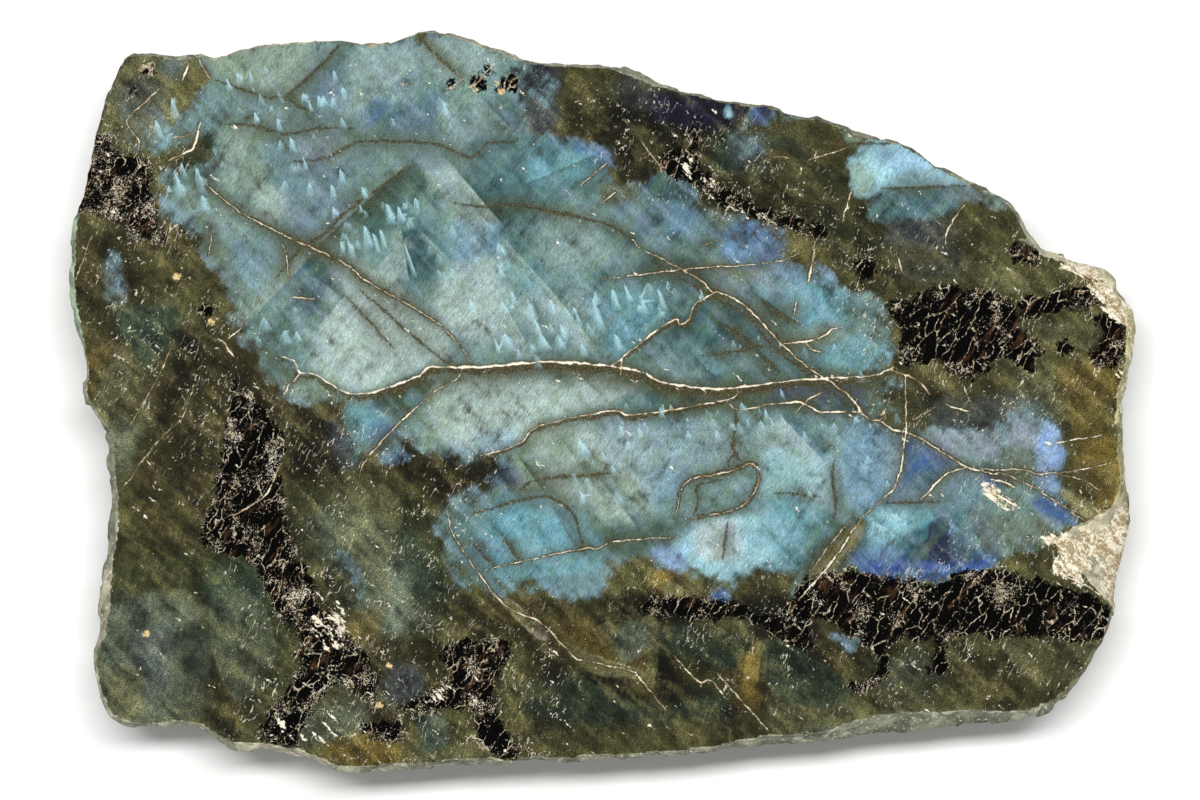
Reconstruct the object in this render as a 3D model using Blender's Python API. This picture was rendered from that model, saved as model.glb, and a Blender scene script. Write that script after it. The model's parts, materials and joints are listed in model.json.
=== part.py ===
"""A rough labradorite chunk: one slab of feldspar, ground and polished on its upper face.

The stone lies on its sawn back with the polished face up. All round, its edge is broken: below the
polished face comes a chipped rim, then a wall of cleavage facets and ledges that leans in to the back.
The soft dark minerals in the polished face are plucked out into shallow pits.
"""

import math
import random

import bmesh
import bpy
from mathutils import Vector, noise

# Driving dimensions, in metres.
STONE_THICKNESS = 0.024  # from the sawn back to the polished face
PLAN_UNIT = 0.00015  # one unit of the plan drawing below, which makes the stone 0.161 long
POINT_SPACING = 0.0019  # between the points of a ring
WALL_BANDS = 12  # bands of faces from the widest outline down to the back

# The broken wall, set in from the widest outline.
LEAN_LEAST = 0.0008  # how far the back is set in, before any facet
LEAN_MOST = 0.0030
SET_IN_MOST = 0.0075
BROW_SHARE = 0.12  # the share of the wall's height over which the facets reach their full depth
BACK_CHAMFER = 0.0008  # the broken arris round the sawn back
GRAIN_SIZE = 0.0045
GRAIN_DEPTH = 0.0003

# The cleavage facets that make the wall.
FACET_SPACING = 0.0046  # between the middles of neighbouring facets, round the stone
FACET_REACH_LEAST = 0.008
FACET_REACH_MOST = 0.017
FACET_EDGE = 0.22  # the outer share of a facet's reach, over which its cut runs out
FACET_BITE_LEAST = 0.0004  # how far a facet's middle lies behind the leaning wall
FACET_BITE_MOST = 0.0028
FACET_TURN = 0.30  # how far a facet may turn along the wall, in radians
FACET_PITCH = 0.34  # how far it may lean up or down
FACET_SEED = 11

# The chipped rim between the polished face and the widest outline.
RIM_DROP_LEAST = 0.0006  # how far the widest outline lies below the polished face
RIM_DROP_SHARE = 1.25  # and how much further for each metre of the rim's width
RIM_DROP_MOST = 0.0044  # in the flaked scar of the right edge, where the rim is widest
RIM_CHIP = 0.0005

PIT_SLOPE = 0.0006  # the width of a plucked pit's sloping border
CUTTER_CLEARANCE = 0.0010  # how far a pit's cutter stands above the polished face
CORNER_ROUNDING = 10  # passes that round the corners off before the wall's directions are taken

# The plan drawing, clockwise from the upper left corner: x to the right, y down the sheet, and the
# width of the chipped rim there, all in plan units.
OUTLINE = [
    (113, 71, 3), (118, 61, 3), (127, 53, 2), (143, 49, 2), (160, 52, 2), (177, 53, 4), (192, 51, 5),
    (204, 51, 4), (217, 56, 3), (228, 52, 1), (256, 46, 1), (280, 41, 1), (312, 39, 1), (340, 37, 1),
    (356, 40, 3), (371, 42, 4), (387, 40, 2), (403, 35, 1), (418, 30, 1), (438, 30, 1), (460, 35, 2),
    (482, 40, 4), (505, 49, 4), (528, 58, 4), (552, 62, 2), (580, 62, 2), (604, 61, 5), (626, 64, 9),
    (642, 68, 9), (660, 79, 6), (681, 88, 3), (706, 95, 2), (738, 101, 2), (770, 105, 2), (797, 113, 4),
    (826, 115, 5), (846, 121, 8), (862, 129, 7), (890, 138, 3), (912, 145, 2), (932, 160, 2),
    (955, 173, 3), (976, 184, 3), (999, 191, 4), (1015, 205, 3), (1026, 223, 5), (1039, 241, 8),
    (1060, 250, 9), (1080, 258, 13), (1103, 263, 14), (1118, 274, 14), (1124, 289, 13),
    (1134, 303, 14), (1138, 319, 12), (1136, 347, 9), (1131, 378, 8), (1124, 400, 7), (1122, 428, 6),
    (1126, 461, 7), (1127, 489, 8), (1131, 506, 20), (1132, 520, 42), (1130, 534, 62), (1126, 549, 70),
    (1121, 564, 62), (1118, 580, 42), (1117, 596, 20), (1116, 610, 9), (1111, 627, 5), (1098, 650, 4), (1080, 676, 4), (1066, 697, 7), (1048, 712, 10), (1020, 723, 13),
    (985, 727, 18), (940, 730, 18), (900, 733, 21), (868, 736, 20), (838, 740, 12), (800, 743, 9),
    (760, 747, 10), (720, 751, 6), (680, 754, 4), (630, 758, 5), (575, 761, 5), (530, 761, 4),
    (490, 765, 7), (446, 768, 8), (400, 771, 8), (360, 772, 7), (334, 769, 6), (306, 759, 7),
    (284, 752, 10), (248, 752, 10), (226, 747, 9), (208, 732, 4), (192, 726, 4), (160, 727, 5),
    (130, 728, 6), (112, 720, 6), (103, 704, 6), (96, 684, 6), (91, 660, 6), (91, 646, 9),
    (96, 628, 12), (98, 600, 13), (102, 565, 12), (107, 524, 11), (112, 500, 7), (108, 480, 8),
    (105, 460, 9), (107, 440, 8), (97, 421, 3), (86, 404, 4), (83, 388, 4), (85, 368, 3),
    (80, 345, 3), (71, 322, 7), (67, 290, 8), (67, 265, 7), (71, 231, 4), (78, 203, 3), (85, 169, 3),
    (93, 138, 4), (100, 112, 3), (106, 88, 3),
]

# The plucked patches of dark mineral: outline in plan units, clockwise, and depth in metres.
PITS = {
    "left_corner_patch": (
        0.0008,
        [(102, 138), (114, 140), (124, 157), (146, 161), (154, 180), (157, 212), (165, 236),
         (160, 246), (136, 240), (110, 223), (90, 208), (88, 192), (94, 165)],
    ),
    "left_vein_patch": (
        0.0007,
        [(230, 384), (240, 382), (256, 396), (279, 426), (286, 442), (282, 482), (291, 532), (302, 560),
         (316, 582), (320, 602), (338, 612), (352, 638), (376, 662), (386, 710), (374, 714), (356, 690),
         (343, 682), (322, 702), (302, 728), (292, 735), (270, 733), (262, 724), (272, 708), (296, 680),
         (300, 664), (297, 634), (284, 620), (268, 590), (246, 568), (220, 552), (202, 536),
         (212, 514), (219, 480), (222, 440)],
    ),
    "lower_middle_patch": (
        0.0006,
        [(440, 650), (480, 640), (514, 640), (501, 670), (495, 686), (500, 714), (512, 738), (506, 748),
         (478, 738), (471, 711), (440, 711), (410, 712), (404, 705), (425, 690), (449, 675)],
    ),
    "lower_middle_ring": (
        0.0005,
        [(362, 726), (380, 718), (400, 720), (410, 732), (388, 742)],
    ),
    "upper_seam": (
        0.0006,
        [(662, 158), (680, 150), (700, 152), (712, 172), (736, 196), (762, 204), (800, 219), (826, 228),
         (822, 240), (796, 234), (756, 216), (722, 204), (696, 184), (670, 176)],
    ),
    "right_patch": (
        0.0008,
        [(884, 312), (896, 300), (936, 292), (988, 285), (1010, 305), (1020, 326), (1040, 346),
         (1037, 362), (1028, 372), (1005, 362), (980, 378), (954, 378), (930, 362), (900, 368), (896, 336)],
    ),
    "right_seam": (
        0.0005,
        [(1024, 299), (1064, 292), (1086, 288), (1098, 298), (1090, 308), (1050, 315), (1030, 316)],
    ),
    "right_edge_patch": (
        0.0006,
        [(1098, 316), (1112, 310), (1122, 328), (1117, 352), (1112, 368), (1102, 368), (1088, 354)],
    ),
    "small_right_patch": (
        0.0005,
        [(857, 260), (868, 254), (876, 264), (874, 276), (866, 282), (858, 272)],
    ),
    "upper_right_patch": (
        0.0005,
        [(1008, 246), (1020, 240), (1034, 246), (1039, 256), (1034, 265), (1012, 257)],
    ),
    "long_lower_patch": (
        0.0008,
        [(742, 612), (780, 609), (801, 584), (840, 570), (880, 575), (926, 582), (960, 572),
         (1005, 573), (1042, 580), (1074, 592), (1098, 608), (1095, 632), (1060, 640), (1010, 637),
         (966, 636), (948, 650), (942, 670), (926, 670), (930, 646), (895, 641), (882, 680),
         (866, 680), (874, 654), (840, 634), (812, 622), (804, 646), (786, 640), (746, 622)],
    ),
}

FELDSPAR_COLOUR = (0.105, 0.125, 0.10, 1.0)
FELDSPAR_ROUGHNESS = 0.35


def on_plan(x, y, height):
    """The place of a point of the plan drawing, before the stone is centred over its origin."""
    return Vector((x * PLAN_UNIT, -y * PLAN_UNIT, height))


def curve_through(corners, share):
    """A smooth closed curve through the corners (Catmull-Rom), read at share, from 0 to 1 round it."""
    reach = share * len(corners)
    first = int(reach) % len(corners)
    t = reach - int(reach)
    before, start, end, after = (Vector(corners[(first + k) % len(corners)]) for k in (-1, 0, 1, 2))
    return 0.5 * (
        2 * start
        + (end - before) * t
        + (2 * before - 5 * start + 4 * end - after) * t * t
        + (3 * start - before - 3 * end + after) * t * t * t
    )


def evenly_round(corners, spacing):
    """Points at an even spacing along the smooth closed curve through the corners, in plan units."""
    steps = 12 * len(corners)
    fine = [curve_through(corners, i / steps) for i in range(steps)]
    lengths = [(fine[(i + 1) % steps].xy - fine[i].xy).length for i in range(steps)]
    count = round(sum(lengths) / spacing)
    points, i, walked = [], 0, 0.0
    for k in range(count):
        distance = sum(lengths) * k / count
        while walked + lengths[i] < distance:
            walked += lengths[i]
            i += 1
        points.append(fine[i].lerp(fine[(i + 1) % steps], (distance - walked) / lengths[i]))
    return points


def outward_directions(ring):
    """The outward direction at each point of a clockwise ring, taken with its sharp corners rounded."""
    smooth = list(ring)
    count = len(ring)
    for _ in range(CORNER_ROUNDING):
        smooth = [(smooth[i - 1] + 2 * smooth[i] + smooth[(i + 1) % count]) / 4 for i in range(count)]
    along = [smooth[(i + 1) % count] - smooth[i - 1] for i in range(count)]
    return [Vector((-step.y, step.x, 0)).normalized() for step in along]


def lean_inset(place, share):
    """How far the wall leans in at a share of its depth, from 0 at the widest outline to 1 at the back."""
    lean = LEAN_LEAST + (LEAN_MOST - LEAN_LEAST) * (0.5 + 0.5 * noise.noise(place / 0.03))
    return lean * share**1.5


def cleavage_facets(widest, outward):
    """The flat facets of the wall: a point, a normal, how far each reaches, and the heights it spans."""
    draw = random.Random(FACET_SEED)
    ledge_height = STONE_THICKNESS / 2
    count = round(len(widest) * POINT_SPACING / FACET_SPACING)
    facets = []
    for k in range(count):
        i = (round((k + draw.uniform(-0.4, 0.4)) * len(widest) / count)) % len(widest)
        height = draw.uniform(0.1, 0.85) * STONE_THICKNESS
        bite = draw.uniform(FACET_BITE_LEAST, FACET_BITE_MOST)
        turn, pitch = draw.uniform(-FACET_TURN, FACET_TURN), draw.uniform(-FACET_PITCH, FACET_PITCH)
        out = outward[i]
        along = Vector((-out.y, out.x, 0))
        normal = out + along * math.tan(turn) - Vector((0, 0, math.tan(pitch)))
        share = 1 - height / STONE_THICKNESS
        middle = widest[i] + Vector((0, 0, height)) - out * (lean_inset(widest[i], share) + bite)
        reach = draw.uniform(FACET_REACH_LEAST, FACET_REACH_MOST)
        ledge = ledge_height + draw.uniform(-0.3, 0.3) * STONE_THICKNESS
        bottom, top = draw.choice([(0, 1), (0, 1), (0, 1), (0, ledge), (ledge, 1)])
        facets.append((middle, normal.normalized(), reach, bottom, top))
    return facets


def facet_inset(at, out, facets):
    """How far a point of the wall is cut back by the deepest facet that reaches it."""
    deepest = 0.0
    for middle, normal, reach, bottom, top in facets:
        margin = 1 - (at - middle).length / reach
        if bottom <= at.z <= top and margin > 0:
            cut = normal.dot(at - middle) / normal.dot(out)
            deepest = max(deepest, cut * min(1.0, margin / FACET_EDGE))
    return deepest


def stone_rings():
    """The rings of points of the stone, from the polished face's edge down to the sawn back."""
    plan = evenly_round(OUTLINE, POINT_SPACING / PLAN_UNIT)
    widest = [on_plan(p.x, p.y, 0) for p in plan]
    rims = [max(p.z, 1.0) * PLAN_UNIT for p in plan]
    drops = [min(RIM_DROP_LEAST + RIM_DROP_SHARE * rim, RIM_DROP_MOST) for rim in rims]
    outward = outward_directions(widest)
    facets = cleavage_facets(widest, outward)

    polished_edge, chipped = [], []
    for place, out, rim, drop in zip(widest, outward, rims, drops):
        polished_edge.append(place - out * rim + Vector((0, 0, STONE_THICKNESS)))
        middle = place - out * rim * 0.5 + Vector((0, 0, STONE_THICKNESS - 0.45 * drop))
        chip = noise.noise(middle / GRAIN_SIZE) * min(RIM_CHIP, rim * 0.4)
        chipped.append(middle + (out + Vector((0, 0, 1))) * chip)
    rings = [polished_edge, chipped]

    for band in range(WALL_BANDS + 1):
        share = band / WALL_BANDS
        brow = min(1.0, share / BROW_SHARE)
        ring = []
        for place, out, drop in zip(widest, outward, drops):
            at = place + Vector((0, 0, (STONE_THICKNESS - drop) * (1 - share)))
            leaning = lean_inset(place, share)
            grain = (0.5 + 0.5 * noise.fractal(at / GRAIN_SIZE, 0.8, 2.0, 3)) * GRAIN_DEPTH
            inset = leaning + brow * (grain + facet_inset(at - out * leaning, out, facets))
            if band == WALL_BANDS:
                inset += BACK_CHAMFER
            ring.append(at - out * min(max(inset, 0.0), SET_IN_MOST))
        rings.append(ring)
    return rings


def loft(rings):
    """One closed body through the rings, with its first and last rings filled."""
    shape = bmesh.new()
    loops = [[shape.verts.new(p) for p in ring] for ring in rings]
    for upper, lower in zip(loops, loops[1:]):
        for i in range(len(upper)):
            shape.faces.new((upper[i - 1], upper[i], lower[i], lower[i - 1]))
    shape.faces.new(loops[0])
    shape.faces.new(loops[-1])
    bmesh.ops.recalc_face_normals(shape, faces=shape.faces)
    bmesh.ops.triangulate(shape, faces=shape.faces)
    return shape


def pit_cutter(corners, depth, middle):
    """A block that stands in the polished face, in a pit's outline, and narrows to the pit's floor."""
    shape = bmesh.new()
    top = STONE_THICKNESS + CUTTER_CLEARANCE
    lid = shape.faces.new([shape.verts.new(on_plan(x, y, top) - middle) for x, y in corners])
    grown = bmesh.ops.extrude_face_region(shape, geom=[lid], use_keep_orig=True)["geom"]
    floor = next(part for part in grown if isinstance(part, bmesh.types.BMFace))
    bmesh.ops.translate(shape, verts=floor.verts, vec=(0, 0, -CUTTER_CLEARANCE))
    bmesh.ops.inset_region(shape, faces=[floor], thickness=PIT_SLOPE, depth=0, use_even_offset=True)
    bmesh.ops.translate(shape, verts=floor.verts, vec=(0, 0, -depth))
    bmesh.ops.recalc_face_normals(shape, faces=shape.faces)
    return shape


def new_object(name, shape, collection):
    """An object made from a bmesh, in a collection."""
    mesh = bpy.data.meshes.new(name)
    shape.to_mesh(mesh)
    shape.free()
    made = bpy.data.objects.new(name, mesh)
    collection.objects.link(made)
    return made


def new_collection(name):
    """A collection in the scene."""
    collection = bpy.data.collections.new(name)
    bpy.context.scene.collection.children.link(collection)
    return collection


def feldspar():
    """The stone's own material."""
    material = bpy.data.materials.new("labradorite")
    material.use_nodes = True
    shader = material.node_tree.nodes["Principled BSDF"]
    shader.inputs["Base Color"].default_value = FELDSPAR_COLOUR
    shader.inputs["Roughness"].default_value = FELDSPAR_ROUGHNESS
    shader.inputs["Metallic"].default_value = 0.0
    return material


def build():
    """Builds the stone over its origin, which is the middle of its box, at the height it rests on."""
    for old in list(bpy.data.objects):
        bpy.data.objects.remove(old)
    stone_parts = new_collection("rough_labradorite_chunk")
    cutters = new_collection("pit_cutters")

    rings = stone_rings()
    sides = [[point[axis] for ring in rings for point in ring] for axis in (0, 1)]
    middle = Vector([(min(side) + max(side)) / 2 for side in sides] + [0])
    stone = new_object("labradorite_slab", loft([[p - middle for p in ring] for ring in rings]), stone_parts)
    stone.data.materials.append(feldspar())

    for name, (depth, corners) in PITS.items():
        cutter = new_object(name, pit_cutter(corners, depth, middle), cutters)
        cutter.hide_render = True
        cutter.display_type = "WIRE"
        pit = stone.modifiers.new(name, "BOOLEAN")
        pit.operation = "DIFFERENCE"
        pit.object = cutter


build()
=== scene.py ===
"""The looks of a rough labradorite chunk: a slab with one polished, flashing face and a broken edge.

The polished face is redrawn on a fine mesh whose edges follow the stone's own markings, so that the
veins, the healed cracks and the dark patches stay sharp. What is soft, such as the clouds in the
feldspar and the edges of a flash, is shaded by noise.
"""

from __future__ import annotations

import json
import logging
import math
import random
from collections.abc import Iterable, Sequence
from dataclasses import dataclass, field
from enum import Enum

import bmesh
import bpy
import numpy as np
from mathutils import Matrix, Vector, noise
from mathutils.geometry import delaunay_2d_cdt

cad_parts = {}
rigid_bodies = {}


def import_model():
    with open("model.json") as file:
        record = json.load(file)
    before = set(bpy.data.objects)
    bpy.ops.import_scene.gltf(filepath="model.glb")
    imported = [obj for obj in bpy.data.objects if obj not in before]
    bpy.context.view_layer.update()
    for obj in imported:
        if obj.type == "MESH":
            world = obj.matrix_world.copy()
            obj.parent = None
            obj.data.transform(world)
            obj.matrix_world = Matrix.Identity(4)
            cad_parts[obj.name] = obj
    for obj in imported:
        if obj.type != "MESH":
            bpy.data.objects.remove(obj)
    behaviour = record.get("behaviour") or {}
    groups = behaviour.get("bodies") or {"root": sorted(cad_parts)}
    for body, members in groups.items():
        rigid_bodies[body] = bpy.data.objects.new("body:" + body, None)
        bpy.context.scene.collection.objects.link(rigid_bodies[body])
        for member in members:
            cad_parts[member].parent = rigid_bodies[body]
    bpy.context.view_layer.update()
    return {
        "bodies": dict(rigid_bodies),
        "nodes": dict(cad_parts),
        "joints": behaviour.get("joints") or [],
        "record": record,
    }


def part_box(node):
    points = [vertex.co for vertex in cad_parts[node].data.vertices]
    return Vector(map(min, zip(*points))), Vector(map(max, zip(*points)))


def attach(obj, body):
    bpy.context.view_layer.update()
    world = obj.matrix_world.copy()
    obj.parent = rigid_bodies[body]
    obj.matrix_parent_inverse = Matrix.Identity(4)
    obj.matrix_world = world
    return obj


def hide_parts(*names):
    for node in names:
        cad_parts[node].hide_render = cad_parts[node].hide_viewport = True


LOG = logging.getLogger("labradorite")

Route = list[tuple[float, float]]
Colour = tuple[float, float, float]

STONE_NODE = "labradorite_slab"
MILLIMETRE = 0.001


def srgb(red: int, green: int, blue: int) -> Colour:
    """The linear colour of a screen colour.

    Args:
        red: Its red, from 0 to 255.
        green: Its green.
        blue: Its blue.

    Returns:
        Red, green and blue from 0 to 1, as a shader takes them.
    """
    return tuple((value / 255) ** 2.2 for value in (red, green, blue))


class Tint(Enum):
    """The colours that the stone is painted with, by a cutter's plain names."""

    FROST = srgb(222, 244, 244)
    MIST = srgb(186, 208, 200)
    SILVER = srgb(154, 178, 176)
    CELADON = srgb(150, 170, 148)
    SEA = srgb(118, 150, 146)
    STEEL = srgb(112, 144, 156)
    SLATE = srgb(104, 130, 152)
    SKY = srgb(126, 170, 206)
    ICE = srgb(176, 230, 242)
    AQUA = srgb(112, 172, 186)
    TEAL = srgb(62, 110, 118)
    DEEP_TEAL = srgb(26, 70, 78)
    PINE = srgb(62, 86, 70)
    COBALT = srgb(50, 92, 166)
    ROYAL = srgb(36, 70, 176)
    PERIWINKLE = srgb(152, 186, 238)
    LILAC = srgb(150, 160, 172)
    NAVY = srgb(42, 44, 72)
    SMOKE = srgb(92, 102, 108)
    OLIVE = srgb(98, 97, 60)
    KHAKI = srgb(124, 124, 86)
    MOSS = srgb(70, 74, 48)
    BARK = srgb(58, 53, 34)
    PITCH = srgb(28, 28, 20)
    GOLD = srgb(136, 116, 56)
    STRAW = srgb(172, 166, 118)
    GREY_GREEN = srgb(112, 124, 104)
    RIND = srgb(140, 142, 122)
    MINT = srgb(158, 190, 160)
    CHALK = srgb(206, 198, 172)


(FROST, MIST, SILVER, CELADON, SEA, STEEL, SLATE, SKY, ICE, AQUA, TEAL, DEEP_TEAL, PINE, COBALT, ROYAL,
 PERIWINKLE, LILAC, NAVY, SMOKE, OLIVE, KHAKI, MOSS, BARK, PITCH, GOLD, STRAW, GREY_GREEN, RIND, MINT,
 CHALK) = Tint


# ---- The drawing of the polished face. Its sheet runs x to the right and y down, in plan units.


@dataclass(frozen=True)
class Patch:
    """A soft-edged area of one colour.

    Attributes:
        tint: Its colour.
        edge: Its outline, in plan units.
        feather: How far its colour runs out over its edge, in plan units.
        weight: How much of the colour it lays on, from 0 to 1.
    """

    tint: Tint
    edge: Route
    feather: float
    weight: float


@dataclass(frozen=True)
class Line:
    """A healed crack in the stone, with what has filled it and stained the feldspar beside it.

    Attributes:
        route: The points that it runs through, in plan units.
        cream: The width of the pale mineral in it, in plan units: below about 2 it shows here and there.
        core: The width of its dark middle, in plan units.
        stain: How far the olive stain beside it reaches, in plan units.
        depth: How strong the stain is, from 0 to 1.
        lean: The side that the stain lies on: -1 on one side, 1 on the other, and 0 on both.
    """

    route: Route
    cream: float
    core: float
    stain: float = 8.0
    depth: float = 0.6
    lean: float = 0.0


@dataclass(frozen=True)
class Facet:
    """A sheen that is crisp along one straight edge and fades away from it, as a twin plane shows.

    Attributes:
        tint: Its colour.
        start: One end of its crisp edge, in plan units.
        end: The other end.
        reach: How far it fades out, in plan units: to the right of the way from start to end, seen from
            above, or to the left when it is below 0.
        weight: How much of the colour lies at the edge, from 0 to 1.
    """

    tint: Tint
    start: tuple[float, float]
    end: tuple[float, float]
    reach: float
    weight: float


def corners(*numbers: float) -> Route:
    """Points, from the x and y of each in turn."""
    return list(zip(numbers[::2], numbers[1::2]))


def patch(tint: Tint, feather: float, weight: float, *outline: float) -> Patch:
    """A patch with an outline of its own."""
    return Patch(tint, corners(*outline), feather, weight)


def shard(tint: Tint, weight: float, *outline: float) -> Patch:
    """A patch with a crisp edge."""
    return patch(tint, 3, weight, *outline)


def spot(tint: Tint, feather: float, weight: float, *box: float) -> Patch:
    """A patch that is a rounded box, drawn in a little from its left, top, right and bottom."""
    left, top, right, bottom = (0.94 * near + 0.06 * far for near, far in zip(box, box[2:] + box[:2]))
    return patch(tint, feather, weight, left, top, right, top, right, bottom, left, bottom)


def vein(cream: float, core: float, *route: float) -> Line:
    """A crack that pale mineral has filled."""
    return Line(corners(*route), cream, core)


def crack(core: float, stain: float, depth: float, *route: float) -> Line:
    """A crack with only a dark middle and a stain."""
    return Line(corners(*route), 0.0, core, stain, depth)


def hair(*route: float) -> Line:
    """A fine crack with its stain."""
    return crack(2.9, 9, 0.6, *route)


def great(cream: float, core: float, stain: float, depth: float, lean: float, *route: float) -> Line:
    """A large crack, with all its sizes."""
    return Line(corners(*route), cream, core, stain, depth, lean)


def twin(start_x: float, start_y: float, end_x: float, end_y: float, *sheens: Tint | float) -> list[Facet]:
    """The facets along one twin plane: tint, reach and weight of each after the plane's two ends."""
    start, end = (start_x, start_y), (end_x, end_y)
    return [Facet(sheens[i], start, end, *sheens[i + 1:i + 3]) for i in range(0, len(sheens), 3)]


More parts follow.
